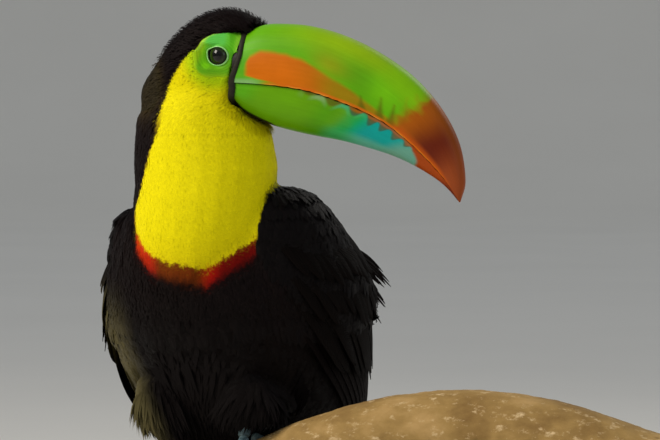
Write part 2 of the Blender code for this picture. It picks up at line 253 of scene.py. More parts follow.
def new_piece(name, points, triangles, material, slot, colour=None, maps=None, normals=None, **values):
    """A mesh from arrays.  colour, normals, maps (UVs) and values (floats) are per point."""
    mesh = bpy.data.meshes.new(name)
    triangles = np.asarray(triangles, np.int32)
    corners = triangles.ravel()
    mesh.vertices.add(len(points))
    mesh.vertices.foreach_set("co", np.asarray(points, np.float32).ravel())
    mesh.loops.add(len(corners))
    mesh.loops.foreach_set("vertex_index", corners)
    mesh.polygons.add(len(triangles))
    mesh.polygons.foreach_set("loop_start", np.arange(0, len(corners), 3, dtype=np.int32))
    mesh.polygons.foreach_set("use_smooth", np.full(len(triangles), True))
    mesh.update(calc_edges=True)
    paint(mesh, colour, **values)
    for map_name, uv in (maps or {}).items():
        layer = mesh.uv_layers.new(name=map_name)
        layer.data.foreach_set("uv", np.asarray(uv, np.float32)[corners].ravel())
    if normals is not None:
        mesh.normals_split_custom_set_from_vertices(normals)
    piece = bpy.data.objects.new(name, mesh)
    bpy.context.scene.collection.objects.link(piece)
    mesh.materials.append(material)
    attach(piece, "root")
    return piece


def grid_triangles(rows, columns, caps=True):
    """Faces of rings of points; with caps, two more points follow the rings, one at each end."""
    row, column = np.meshgrid(np.arange(rows - 1), np.arange(columns), indexing="ij")
    a, b = row * columns + column, row * columns + (column + 1) % columns
    d, e = a + columns, b + columns
    faces = [np.stack([a, b, e], -1).reshape(-1, 3), np.stack([a, e, d], -1).reshape(-1, 3)]
    if caps:
        ring = np.arange(columns)
        after = (ring + 1) % columns
        base = (rows - 1) * columns
        first, last = np.full(columns, rows * columns), np.full(columns, rows * columns + 1)
        faces.append(np.stack([after, ring, first], -1))
        faces.append(np.stack([base + ring, base + after, last], -1))
    return np.vstack(faces)


def hoop_faces(rows, columns):
    """Faces of rings whose last one joins the first."""
    faces = grid_triangles(rows + 1, columns, caps=False)
    return np.where(faces >= rows * columns, faces - rows * columns, faces)


def with_caps(rings):
    """Rings (rows, columns, numbers) to a flat list of points with both ends' middles."""
    ends = [rings[0].mean(axis=0), rings[-1].mean(axis=0)]
    return np.vstack([rings.reshape(-1, rings.shape[-1]), ends])


def face_outward(piece, sharp_from=None):
    """Make a closed shell's faces point outwards; edges sharper than an angle stay crisp."""
    bm = bmesh.new()
    bm.from_mesh(piece.data)
    bmesh.ops.recalc_face_normals(bm, faces=bm.faces)
    bm.to_mesh(piece.data)
    bm.free()
    if sharp_from:
        piece.data.set_sharp_from_angle(angle=math.radians(sharp_from))
    return piece


# ---------------------------------------------------------------- camera, floor and light

def add_aimed(name, data, place, target):
    """Put a camera or a lamp at its place, turned to its target."""
    aimed = bpy.data.objects.new(name, data)
    aimed.location = place
    aimed.rotation_euler = (Vector(target) - Vector(place)).to_track_quat('-Z', 'Y').to_euler()
    bpy.context.scene.collection.objects.link(aimed)
    return aimed


def make_camera():
    data = bpy.data.cameras.new("camera")
    data.sensor_width = 36
    data.lens = 178.5
    data.clip_end = 60
    place, target = (0.76646, -1.62776, 0.39282), (0.00621, 0.00260, 0.33)
    bpy.context.scene.camera = add_aimed("camera", data, place, target)


def plaster_material():
    """Matt painted plaster, pale warm grey: faint cloudiness from the roller."""
    return two_tone_material("painted_plaster", ("#DEDCD6", "#E6E4DE"), 'TexNoise',
                             {"Scale": 1.6, "Detail": 4.0}, Roughness=0.85)


def make_floor(material):
    """Pale studio floor that turns up into a low wall all round, so that no edge shows."""
    bpy.ops.object.select_all(action='DESELECT')
    bpy.ops.mesh.primitive_circle_add(vertices=96, radius=9.0, fill_type='NGON', location=(0, 0, 0))
    floor = bpy.context.object
    floor.name = floor.data.name = "floor"
    bpy.ops.object.mode_set(mode='EDIT')
    bpy.ops.mesh.select_mode(type='EDGE')
    bpy.ops.mesh.select_all(action='SELECT')
    bpy.ops.mesh.region_to_loop()
    for rise, spread in ((0.05, 1.08), (0.15, 1.07), (0.3, 1.06), (0.5, 1.04), (0.8, 1.03), (1.2, 1.01)):
        bpy.ops.mesh.extrude_region_move(TRANSFORM_OT_translate={"value": (0, 0, rise)})
        bpy.ops.transform.resize(value=(spread, spread, 1))
    bpy.ops.object.mode_set(mode='OBJECT')
    floor.data.shade_smooth()
    floor.data.materials.append(material)


def make_lights():
    world = bpy.data.worlds.new("studio")
    world.use_nodes = True
    sky = world.node_tree.nodes["Background"]
    sky.inputs["Color"].default_value = linear("#E9EDF2")
    sky.inputs["Strength"].default_value = 0.46
    bpy.context.scene.world = world
    lamps = (
        # name, place, size, watts, colour
        ("key", (-1.15, -1.25, 1.65), 0.9, 44, "#FFF6E8"),
        ("fill", (1.9, -0.9, 0.9), 1.2, 5, "#EAF2FF"),
        ("rim", (0.3, 1.7, 1.5), 0.8, 7, "#FFF8EC"),
    )
    for name, place, size, watts, colour in lamps:
        data = bpy.data.lights.new(name, 'AREA')
        data.size = size
        data.energy = watts
        data.color = linear(colour)[:3]
        add_aimed(name, data, place, (0, 0, 0.33))
    bpy.context.scene.view_settings.view_transform = 'Standard'


# ---------------------------------------------------------------- eyes and bare skin: where they lie

# Places on the head's side are (forward, up) in mm
EYE_CENTRE = (16.8, 420.3)
EYE_DEPTH = 15.6
EYE_RADIUS = 6.6
LID_CENTRE = (16.2, 419.9)
LID_RADIUS = 6.15
LID_SQUASH = 0.85
LID_CORNER = math.radians(148)
LID_DRAWN = 0.13
BARE_CENTRE = (15.5, 420.0)


def lid_corner(around):
    """1 where the lids meet at the rear, fading to 0 on either side."""
    return bell((around - LID_CORNER + math.pi) % (2 * math.pi), math.pi, 0.32)


def eye_distance(head):
    """Distance in mm from the lids' middle, wider than high and drawn out to the rear corner."""
    forward, up = head[..., 0] - LID_CENTRE[0], (head[..., 2] - LID_CENTRE[1]) / LID_SQUASH
    return np.hypot(forward, up) * (1 - LID_DRAWN * lid_corner(np.arctan2(up, forward)))


def from_eyeball(head):
    """Distance in mm from the eyeball's middle, seen from the side."""
    return np.hypot(head[..., 0] - EYE_CENTRE[0], head[..., 2] - EYE_CENTRE[1])


def eyeball_level(head, extra=0.0):
    """How far out from the head's middle the eyeball's surface lies, swollen by extra mm."""
    return EYE_DEPTH + np.sqrt(np.maximum((EYE_RADIUS + extra) ** 2 - from_eyeball(head) ** 2, 0))


def lid_level(head):
    """How far out from the head's middle the lids lie: over the eyeball, then level."""
    return np.maximum(eyeball_level(head, 0.35), 19.3)


def cap_line(z):
    """Front edge of the black cap, from the nape over the ear to the forehead."""
    return np.interp(z, (380, 385, 404, 418, 421.5, 423.3, 426.2, 428.7, 431.0, 432.4, 433.2),
                     (-17.5, -16.4, -10.8, -1.9, 1.2, 4.4, 6.2, 7.8, 10.8, 15, 70))


def bare_skin(head, inner=10.6, outer=12.8):
    """1 on the bare skin round the eye, 0 in the feathers."""
    forward, up = head[..., 0] - BARE_CENTRE[0], head[..., 2] - BARE_CENTRE[1]
    forward = np.abs(forward * np.where(forward < 0, 1.0, 0.4))
    up = np.abs(up * np.where(up > 0, 0.72, 1.0))
    reach = (forward ** 2.5 + up ** 2.5) ** 0.4
    return fall(reach, inner, outer) * step(head[..., 0] - cap_line(head[..., 2]), -0.4, 0.8)


def lime_reach(head):
    """1 by the bare skin, fading to 0 over the first yellow feathers."""
    forward, up = head[..., 0] - BARE_CENTRE[0], head[..., 2] - BARE_CENTRE[1]
    return fall(np.hypot(forward * np.where(forward < 0, 0.9, 0.5), up * 0.85), 10.5, 20.0)


def on_face_side(head):
    return (np.abs(head[:, 1]) > 8) & (head[:, 2] > 400)


# ---------------------------------------------------------------- markings of skin and plumage

BLACK = "#0B0707"
# Brownish painted sheen where light catches the side of the nape
NAPE_SHEEN = "#55461F"
MAROON = "#130808"
YELLOW = "#E9DB06"
YELLOW_DEEP = "#D9C404"
LIME = "#9CCB0C"
BLOOD_RED = "#A81207"
DARK_RED = "#6E0904"
BRIGHT_RED = "#C2300A"
RUST = "#6E2E06"
WHITE = "#E2DFD2"
# Painted sheen of reflected light on the right flank, and on the quills there
FLANK_SHEEN = "#5A5334"
QUILL_SHEEN = "#7C744A"
CAP_AT_MOST = "#2A2416"
BODY_TURN = math.radians(25)


def seen_aside(bird):
    """Place in mm across the body, from its right to its left as seen from before its right side."""
    return math.cos(BODY_TURN) * bird[..., 0] + math.sin(BODY_TURN) * (bird[..., 1] - NECK[1])


def flank_sheen_share(bird):
    """1 where a brownish painted sheen of reflected light lies along the right flank, fading inwards."""
    z = bird[..., 2]
    flank = seen_aside(bird) - np.interp(z, (212, 231, 262, 290), (-25, -35, -46, -50))
    return fall(flank, -6, 10) * fall(z, 248, 300) * fall(bird[..., 1], -66, -44)


def yellow_share(bird, ragged):
    """1 on the yellow of face, throat and chest, between the black of nape and shoulders."""
    z, aside = bird[..., 2], seen_aside(bird)
    # Where the yellow begins and ends round the neck, in degrees from the bird's left
    angle = np.degrees(np.arctan2(bird[..., 1] - NECK[1], bird[..., 0])) % 360
    heights = (319, 332, 345, 352, 385, 400)
    first = np.interp(z, heights, (-141, -140, -130.5, -126.5, -111, -110))
    last = np.interp(z, heights, (13, 16, 28, 62, 120, 119.6))
    off = np.abs((angle - (first + last) / 2 + 180) % 360 - 180)
    front = step((last - first) / 2 - off + 0.3 * ragged, -0.8, 0.8)
    front = front * step(aside - np.interp(z, (319, 335, 345), (-36.6, -37.6, -60)), -0.6, 0.6)
    shoulder = np.interp(z, (300, 320, 331, 345, 349, 352), (27, 30, 31.6, 35, 39, 90))
    front = front * fall(aside - shoulder, -0.8, 0.8)
    face = step(bird_to_head(bird)[..., 0] - cap_line(z), -0.5, 0.5)
    on_neck = fall(z, 375, 395)
    return front * on_neck + face * (1 - on_neck)


def markings(bird):
    """Linear colour of the plumage at points of the bird's frame, in mm."""
    x, y, z = np.moveaxis(bird, -1, 0)
    head, aside = bird_to_head(bird), seen_aside(bird)
    ragged = 2.2 * np.sin(x * 0.9 + y * 0.7) * np.sin(z * 0.8 + 1.3)
    # Black with a maroon tinge above, white over the tail and red under it, and a painted sheen of
    # reflected light on the flank
    behind = y + 0.72 * (z - 190)
    rump = fall(z + 0.04 * x ** 2 + 1.2 * ragged, 203, 214)
    colour = blend(plain(BLACK, x.shape),
                   (MAROON, 0.6 * step(z, 250, 320)),
                   # Painted sheen on the side of the nape
                   (NAPE_SHEEN, 0.9 * bell(z, 403, 12) * fall(head[..., 0], -26, -12)),
                   (WHITE, step(behind, 36, 40) * step(y, 30, 36) * rump),
                   (BLOOD_RED, step(y, -2, 8) * fall(behind, -14, -6) * fall(z, 168, 184)),
                   (FLANK_SHEEN, 0.85 * flank_sheen_share(bird)))
    # Yellow bib over a narrow band of red, dull in the middle
    yellow = yellow_share(bird, ragged)
    lower = np.interp(aside, (-38, -30, -20, -8, 2, 12, 29), (325, 313.3, 308, 306.2, 304.3, 310.2, 320.5))
    above = z - (lower + 0.35 * ragged)
    red = blend(plain(BLOOD_RED, x.shape),
                (RUST, step(aside, -30, -22) * fall(aside, -4, 6)),
                (DARK_RED, step(aside, 2, 14)),
                (BRIGHT_RED, fall(aside, -36, -24)))
    colour = mix(colour, red, step(above, -12.5, -6.0) * yellow)
    gold = blend(plain(YELLOW, x.shape),
                 (YELLOW_DEEP, 0.5 * fall(z, 300, 330)),
                 (LIME, 0.85 * lime_reach(head) * (np.abs(head[..., 1]) > 8)))
    return mix(colour, gold, yellow * step(above, -1.4, 1.0))


def black_only(bird):
    return plain(BLACK, bird.shape[:-1])


def never_pale(bird):
    """Markings of the cap's feathers, which stay dark to its very edge."""
    return np.minimum(markings(bird), linear(CAP_AT_MOST)[:3])


def face_colours(head, colour):
    """Lay the bare skin's greens over skin colours."""
    forward, up = head[..., 0] - EYE_CENTRE[0], head[..., 2] - EYE_CENTRE[1]
    ring = eye_distance(head)
    around = np.arctan2(up, forward)
    over_eye = step(up, 1.5, 7.5) * fall(forward, 2.0, 7.5) * fall(-forward, 8.0, 11.0)
    painted_light_behind_eye = step(-np.cos(around), 0.5, 0.9)
    low_rear = step(np.cos(around - math.radians(205)), 0.5, 0.95)
    by_cap = bell(head[..., 0] - cap_line(head[..., 2]), 1.2, 0.8)
    lime = blend(plain("#5EA20A", forward.shape),
                 # Cool green above the eye, brighter before it, and painted light behind it that lifts the
                 # socket's shaded rear wall
                 ("#58BE49", 0.95 * over_eye),
                 ("#52B618", 0.6 * step(forward, 2.0, 6.0) * step(up, -7, 2)),
                 ("#82DD0E", 0.7 * painted_light_behind_eye * step(ring, 6.8, 8.2) * fall(ring, 9.5, 11)),
                 ("#80C22A", 0.7 * step(forward, 7.4, 9.6) * step(up, -9, 1)),
                 # Painted shade in the creases along the lids
                 ("#2E8A10", 0.3 * step(np.cos(around), 0.2, 0.8) * bell(ring, 8.0, 0.7)),
                 ("#2E8A10", 0.25 * low_rear * bell(ring, 7.0, 0.5)),
                 # Yellower towards the feathers
                 ("#A4D00A", 0.9 * step(0.3 * up - forward, 8.0, 12.0)),
                 ("#94BC0A", 0.8 * step(-up, 8.8, 12.5)),
                 ("#A6DC50", 0.6 * by_cap * step(up, 1, 4)))
    return mix(colour, lime, bare_skin(head))


# ---------------------------------------------------------------- line where horn meets skin

# The bill's lines from its base to its tip, (forward, up) in mm
CULMEN = ((24.5, 431), (36, 436.8), (49, 437.5), (64, 436), (82, 431), (101, 422.3),
          (121, 409), (137, 392), (147.5, 373), (151.2, 353), (148.8, 341.5))
MOUTH = ((24.5, 405.5), (40, 404.6), (55, 403), (69, 400.5), (83, 396), (97, 390.5),
         (111, 383), (124, 372.5), (136, 360.5), (143.5, 350.5), (148.2, 341))
KEEL = ((22, 394), (29, 387.5), (40, 382.8), (54, 379), (68, 376.2), (82, 373.8),
        (97, 370), (111, 365.8), (124, 360.2), (137, 352.5), (145, 345.4))
BILL_HALF_WIDTH = 19.5
# Each half: ridge line, share of the bill's width, roundness, and how far its edge drops
UPPER = (CULMEN, 1.0, 0.8, 0.0)
LOWER = (KEEL, 0.94, 0.7, 0.35)
LOWER_BASE = 0.012


def horn_points(half, share, angle):
    """Points of one half of the bill in the head frame; share and angle broadcast together."""
    ridge_line, width, roundness, drop = half
    edge = smooth_curve(MOUTH, share)
    ridge = smooth_curve(ridge_line, share)
    height = np.sin(angle) ** roundness
    half_width = (BILL_HALF_WIDTH * (1 - share ** 1.9) ** 0.85 + 0.6) * width
    across = np.sign(np.cos(angle)) * np.abs(np.cos(angle)) ** 0.75 * half_width
    forward = edge[..., 0] + (ridge[..., 0] - edge[..., 0]) * height
    up = edge[..., 1] + (ridge[..., 1] - edge[..., 1]) * height - drop * (1 - height)
    return np.stack([forward, across, up], -1)


def collar_share(height):
    """How far along the horn its bare surface begins, by height from mouth to culmen."""
    return np.interp(height, (0, 0.29, 0.6, 0.9, 1.0), (0.012, 0.020, 0.034, 0.040, 0.044))


def collar_line(count):
    """Outline of the bill's base, over the culmen and round the keel."""
    angle = np.linspace(0, math.pi, count)
    upper = horn_points(UPPER, collar_share(np.sin(angle) ** 0.8), angle)
    lower = horn_points(LOWER, np.full(count, LOWER_BASE), angle)
    outline = np.vstack([upper[3:-3], lower[::-1][3:-3]])
    for _ in range(5):
        outline = 0.5 * outline + 0.25 * (np.roll(outline, 1, 0) + np.roll(outline, -1, 0))
    back = np.interp(outline[:, 2], (403.5, 405.5, 409, 414, 420, 426, 428, 430, 431.2, 432.3, 433, 433.7),
                     (1.05, 1.9, 1.7, 0.6, -0.1, 0.3, 0.4, 0.7, 1.1, 1.9, 2.8, 4.2))
    return outline - back[:, None] * (1, 0, 0)


def behind_collar(head):
    """How far each point lies behind the collar, and the collar's own distance from the middle."""
    line = collar_line(120)
    line = line[(line[:, 1] > 4) & (line[:, 2] > 394)]
    line = line[np.argsort(line[:, 2])]
    forward, across = (np.interp(head[:, 2], line[:, 2], line[:, k]) for k in (0, 1))
    return forward - head[:, 0], across


def beside_base(head, top):
    """Points at the sides of the bill's base, up to a height."""
    return (np.abs(head[:, 1]) > 5) & (head[:, 2] > 396) & (head[:, 2] < top)


def collar_distance(head):
    """Distance in mm from the collar's middle, less for points that lie just ahead of it;
    points well behind it count as far."""
    distance = np.full(len(head), 99.0)
    near = np.flatnonzero(head[:, 0] > 14)
    line = collar_line(60)
    for chunk in np.array_split(near, max(1, len(near) // 4000)):
        apart = head[chunk][:, None] - line[None]
        reach = np.linalg.norm(apart, axis=2)
        nearest = reach.argmin(1)[:, None]
        ahead = np.take_along_axis(apart[..., 0], nearest, 1)[:, 0]
        reach = np.take_along_axis(reach, nearest, 1)[:, 0]
        distance[chunk] = reach - np.where(reach < 2.5, 1.6 * step(ahead, -0.3, 0.3), 0)
    return np.maximum(distance, 0)


# ---------------------------------------------------------------- skin

# Depth in mm of the coat over the skin of each flesh node
COAT_DEPTHS = {"head": 1.5, "neck": 1.5, "trunk": 2.8, "wing_left": 2.4, "wing_right": 2.4,
               "thigh_left": 4.2, "thigh_right": 4.2}
FLESH = tuple(COAT_DEPTHS)
BARE_DEPTH = 0.9
SKIN_MESH = 1.9
# Edges this near to the lids' middle, from and to in mm, are split, one pass after the other
EYE_MESH = ((0.0, 19.0), (0.0, 15.5), (4.4, 7.8))


def join_flesh():
    """Copies of the flesh nodes as one closed mesh.

    The eyes' copies fill the sockets, which set_eye_sockets then shapes."""
    copies = []
    for name in FLESH + ("eye_left", "eye_right"):
        copy = bpy.data.objects.new(name + "_copy", nodes[name].data.copy())
        bpy.context.scene.collection.objects.link(copy)
        copies.append(copy)
    select_only(*copies)
    bpy.ops.object.join()
    skin = bpy.context.object
    skin.name = skin.data.name = "skin"
    bpy.ops.object.mode_set(mode='EDIT')
    bpy.ops.mesh.select_all(action='SELECT')
    bpy.ops.mesh.remove_doubles(threshold=1e-5)
    bpy.ops.object.mode_set(mode='OBJECT')
    apply_modifier(skin, 'REMESH', mode='VOXEL', voxel_size=SKIN_MESH * MM, use_smooth_shade=True)
    apply_modifier(skin, 'SMOOTH', factor=0.5, iterations=6)
    return skin


def split_near_eyes(mesh):
    """Finer faces round the eyes, finest along the lids."""
    bm = bmesh.new()
    bm.from_mesh(mesh)
    for near, far in EYE_MESH:
        middles = np.array([(edge.verts[0].co + edge.verts[1].co) / 2 for edge in bm.edges])
        head = bird_to_head(world_to_bird(middles))
        ring = eye_distance(head)
        chosen = (ring >= near) & (ring < far) & (np.abs(head[:, 1]) > 9)
        fine = [edge for edge, wanted in zip(bm.edges, chosen) if wanted]
        bmesh.ops.subdivide_edges(bm, edges=fine, cuts=1, use_grid_fill=True)
    bmesh.ops.triangulate(bm, faces=[f for f in bm.faces if len(f.verts) > 4])
    bm.to_mesh(mesh)
    bm.free()


def nearest_flesh(points):
    """Index into FLESH of the node whose surface is nearest to each point."""
    trees = []
    for name in FLESH:
        mesh = nodes[name].data
        mesh.calc_loop_triangles()
        trees.append(BVHTree.FromPolygons([v.co for v in mesh.vertices],
                                          [t.vertices for t in mesh.loop_triangles]))
    return np.array([int(np.argmin([tree.find_nearest(point)[3] for tree in trees])) for point in points])


def coat_depth(mesh, region):
    """Depth in mm of the coat at each point, easing from one part of the body to the next."""
    depth = np.array(list(COAT_DEPTHS.values()))[region]
    count = len(depth)
    edges = np.empty(len(mesh.edges) * 2, np.int32)
    mesh.edges.foreach_get("vertices", edges)
    start, end = edges.reshape(-1, 2).T
    links = np.bincount(edges, minlength=count)
    for _ in range(10):
        total = np.bincount(start, depth[end], count) + np.bincount(end, depth[start], count)
        depth = 0.5 * depth + 0.5 * total / links
    return depth


def tuck_at_collar(points):
    """Draw the sides of the face forward and in to the horn's width, so that they end under its rim."""
    head = bird_to_head(world_to_bird(points))
    behind, across = behind_collar(head)
    out, up = np.abs(head[:, 1]), head[:, 2]
    beside = beside_base(head, 433.5) & (behind > -6)
    excess = np.maximum(out - across - 0.2, 0) * (1 - np.clip((behind - 0.6) / 5.4, 0, 1))
    forward = 2.2 * step(up, 396, 400) * fall(up, 430, 433.5) * (1 - np.clip(behind / 6, 0, 1))
    head[:, 1] -= np.sign(head[:, 1]) * np.where(beside, excess, 0)
    head[:, 0] += np.where(beside, forward, 0)
    return head_to_world(head)


def set_eye_sockets(points):
    """Draw the skin in round each eye: a shallow bowl, a swollen lid and an opening."""
    head = bird_to_head(world_to_bird(points))
    side, out = np.sign(head[:, 1]), np.abs(head[:, 1])
    ring = eye_distance(head)
    near = (ring < 13) & (out > 14.5)
    rear = step((LID_CENTRE[0] - head[:, 0]) / np.maximum(ring, 1), 0.3, 0.9)
    fold = step(ring, 6.1, 9.0 + 3.5 * rear)
    bowl = out * fold + lid_level(head) * (1 - fold)
    over_ball = from_eyeball(head) < EYE_RADIUS + 0.2
    bowl = np.where(over_ball, np.maximum(bowl, eyeball_level(head, 0.3)), bowl)
    outside = step(ring, 4.6, 5.2)
    opened = bowl * outside + (eyeball_level(head) - 1.2) * (1 - outside)
    head[:, 1] = np.where(near, side * opened, head[:, 1])
    return head_to_world(head)


def skin_colours(bird, region):
    """The coat's markings, a little darker, with bare skin round the eyes, painted shade in the eyes'
    openings, and black by the collar.
    """
    head = bird_to_head(bird)
    low_arm = np.isin(region, [FLESH.index("wing_" + side) for side in SIDES]) & (bird[:, 2] < 318)
    colour = blend(markings(bird) * 0.85, (BLACK, low_arm.astype(float)))
    beside = beside_base(head, 434) & (head[:, 0] > 14)
    to_collar = np.where(beside, behind_collar(head)[0], collar_distance(head))
    to_collar = to_collar - 1.1 * bell(head[:, 2], 422.9, 1.3)
    return blend(face_colours(head, colour),
                 ("#17130F", fall(to_collar, 0.9, 1.3)),
                 # Painted shade in each eye's opening, just inside the lids
                 ("#0C1206", fall(eye_distance(head), 5.6, 5.9) * (np.abs(head[:, 1]) > 9)))


def make_skin(material):
    """One skin for head, neck, trunk, arms and thighs, shrunk below the coat."""
    skin = join_flesh()
    mesh = skin.data
    mesh.materials.clear()
    mesh.materials.append(material)
    split_near_eyes(mesh)
    points = read(mesh, "co")
    region = nearest_flesh(points)
    head = bird_to_head(world_to_bird(points))
    bare = bare_skin(head) * on_face_side(head)
    raised = bare_skin(head, 9.0, 17.0) * on_face_side(head)
    depth = coat_depth(mesh, region) * (1 - raised) + BARE_DEPTH * raised
    depth = depth + 0.8 * fall(collar_distance(head), 1.8, 4.2)
    points = points - unit(read(mesh, "normal")) * (depth * MM)[:, None]
    points = set_eye_sockets(tuck_at_collar(points))
    move_points(mesh, points)
    mesh.update()
    bird = world_to_bird(points)
    paint(mesh, skin_colours(bird, region), Bare=bare, Ring=eye_distance(bird_to_head(bird)))
    select_only(skin)
    bpy.ops.object.mode_set(mode='EDIT')
    bpy.ops.mesh.select_all(action='SELECT')
    bpy.ops.uv.smart_project(angle_limit=math.radians(66), island_margin=0.002)
    bpy.ops.object.mode_set(mode='OBJECT')
    mesh.uv_layers[0].name = "OFBake"
    mesh.shade_smooth()
    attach(skin, "root")
    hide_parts(*FLESH)
    return skin


def skin_material():
    """Bare facial skin, soft and finely wrinkled in rings; elsewhere dull skin under down."""
    material, tree, shader = new_material("facial_skin", Roughness=0.55, Subsurface_Weight=0.08,
                                          Subsurface_Radius=(0.004, 0.003, 0.001), IOR=1.4,
                                          Specular_IOR_Level=0.2)
    marking = add(tree, 'VertexColor', layer_name="Marking")
    where = add(tree, 'TexCoord').outputs["Object"]
    ring = add(tree, 'Attribute', attribute_name="Ring").outputs["Fac"]
    bare = add(tree, 'Attribute', attribute_name="Bare").outputs["Fac"]
    # Wrinkles in rings 1.4 mm apart, crumpled; pores about 1 mm apart between them
    crumple = add(tree, 'TexNoise', {"Scale": 260.0, "Detail": 3.0}, {"Vector": where})
    push = add(tree, 'Math', {1: 5.0}, {0: crumple}, operation='MULTIPLY')
    phase = add(tree, 'Math', {1: 4.4}, {0: ring, 2: push}, operation='MULTIPLY_ADD')
    wave = add(tree, 'Math', {}, {0: phase}, operation='SINE')
    pores = add(tree, 'TexVoronoi', {"Scale": 900.0}, {"Vector": where})
    height = add(tree, 'Math', {1: 0.6}, {0: pores, 2: wave}, operation='MULTIPLY_ADD')
    held = add(tree, 'Math', {}, {0: height, 1: bare}, operation='MULTIPLY')
    bump = add(tree, 'Bump', {"Strength": 0.25, "Distance": 0.00015}, {"Height": held})
    shade = add(tree, 'MapRange', {"From Min": -1.0, "To Min": 0.97, "To Max": 1.02}, {"Value": wave})
    tint = add(tree, 'MixRGB', {"Fac": 1.0}, {"Color1": marking, "Color2": shade}, blend_type='MULTIPLY')
    link(tree, shader, {"Base Color": tint, "Normal": bump})
    return material


# ---------------------------------------------------------------- coat

PROFILES = {
    # share along the vane, share of its full width
    "slim": ((0.0, 0.45), (0.55, 1.0)),
    "round": ((0.0, 0.4), (0.5, 1.0), (0.86, 0.8)),
}
# The bake map: share of it that one vane's patch takes, and its clear margin
PATCH = 0.003
MARGIN = 0.004


def flow(bird):
    """Lie of the plumage: away from the bill over the head, then down neck and body."""
    z = bird[..., 2]
    away = turned(unit((bird_to_head(bird) - (42.0, 0.0, 422.0)) * (1, 1, 0.9)), HEAD_TURN)
    down = unit(np.stack([np.zeros_like(z), 0.52 * fall(z, 240, 335), np.full_like(z, -0.85)], -1))
    weight = step(z, 362, 398)[..., None]
    return unit(away * weight + down * (1 - weight))


def hanging(bird):
    """Belly and thigh feathers hang down over the feet, drawn in at the sides."""
    x = bird[..., 0]
    return unit(np.stack([-0.015 * x, np.full_like(x, 0.14), np.full_like(x, -1.0)], -1))


def vane_points(root, along, outward, length, width, rise, droop, profile):
    """Closed thin vanes: (count, points, 3)."""
    across = unit(np.cross(along, outward))
    columns = []
    for share, breadth in profile:
        height = rise * math.sin(math.pi / 2 * min(1.0, share * 1.5)) - droop * share ** 2
        middle = root + along * (length * share)[:, None] + outward * height[:, None]
        half = across * (width * breadth / 2)[:, None]
        ridge = outward * (width * breadth * 0.07)[:, None]
        columns += [middle - half, middle + ridge, middle + half]
    columns.append(root + along * length[:, None] + outward * (rise - droop)[:, None])
    return np.stack(columns, 1)


def vane_faces(profile):
    last = 3 * len(profile) - 3
    faces = [(0, 2, 1)]
    for a in range(0, last, 3):
        b = a + 3
        faces += [(a, a + 1, b + 1), (a, b + 1, b), (a + 1, a + 2, b + 2), (a + 1, b + 2, b + 1),
                  (a, b, b + 2), (a, b + 2, a + 2)]
    tip = last + 3
    faces += [(last, last + 1, tip), (last + 1, last + 2, tip), (last, tip, last + 2)]
    return np.array(faces)


def vane_map(profile):
    """Across and along place of each point of one vane, for patterns and for the bake's patch."""
    places = []
    for share, breadth in profile:
        places += [(0.5 - breadth / 2, share + 0.06), (0.5, share), (0.5 + breadth / 2, share + 0.06)]
    places.append((0.5, 1.0))
    return np.array(places)


class Hide:
    """What the coat needs of the skin: faces, areas, regions, normals and the unwrap."""

    def __init__(self, skin, materials):
        self.materials = materials
        mesh = skin.data
        mesh.calc_loop_triangles()
        count = len(mesh.loop_triangles) * 3
        corners, loops = np.empty(count, np.int32), np.empty(count, np.int32)
        mesh.loop_triangles.foreach_get("vertices", corners)
        mesh.loop_triangles.foreach_get("loops", loops)
        uv = np.empty(len(mesh.loops) * 2, np.float32)
        mesh.uv_layers["OFBake"].data.foreach_get("uv", uv)
        self.corners = corners.reshape(-1, 3)
        self.uv = uv.reshape(-1, 2)[loops].reshape(-1, 3, 2)
        self.points = read(mesh, "co")
        self.normals = unit(read(mesh, "normal"))
        a, b, c = (self.points[self.corners[:, i]] for i in range(3))
        middle = (a + b + c) / 3
        self.area = np.linalg.norm(np.cross(b - a, c - a), axis=1) / 2 / MM ** 2
        self.centre = world_to_bird(middle)
        self.head = bird_to_head(self.centre)
        self.bare = bare_skin(self.head) * on_face_side(self.head)
        self.from_collar = collar_distance(self.head)
        region = nearest_flesh(middle)
        self.parts = {name: region == number for number, name in enumerate(FLESH)}

    def sow(self, density, rng):
        """Roots spread by density per square millimetre: points, normals and unwrap places."""
        expected = np.concatenate([[0], np.cumsum(self.area * density)]) + rng.random()
        counts = np.diff(np.floor(expected).astype(int))
        face = np.repeat(np.arange(len(counts)), counts)
        p, q = rng.random(len(face)), rng.random(len(face))
        over = p + q > 1
        p[over], q[over] = 1 - p[over], 1 - q[over]
        share = np.stack([1 - p - q, p, q], 1)[..., None]
        point = (self.points[self.corners[face]] * share).sum(1)
        normal = unit((self.normals[self.corners[face]] * share).sum(1))
        return point, normal, (self.uv[face] * share).sum(1)


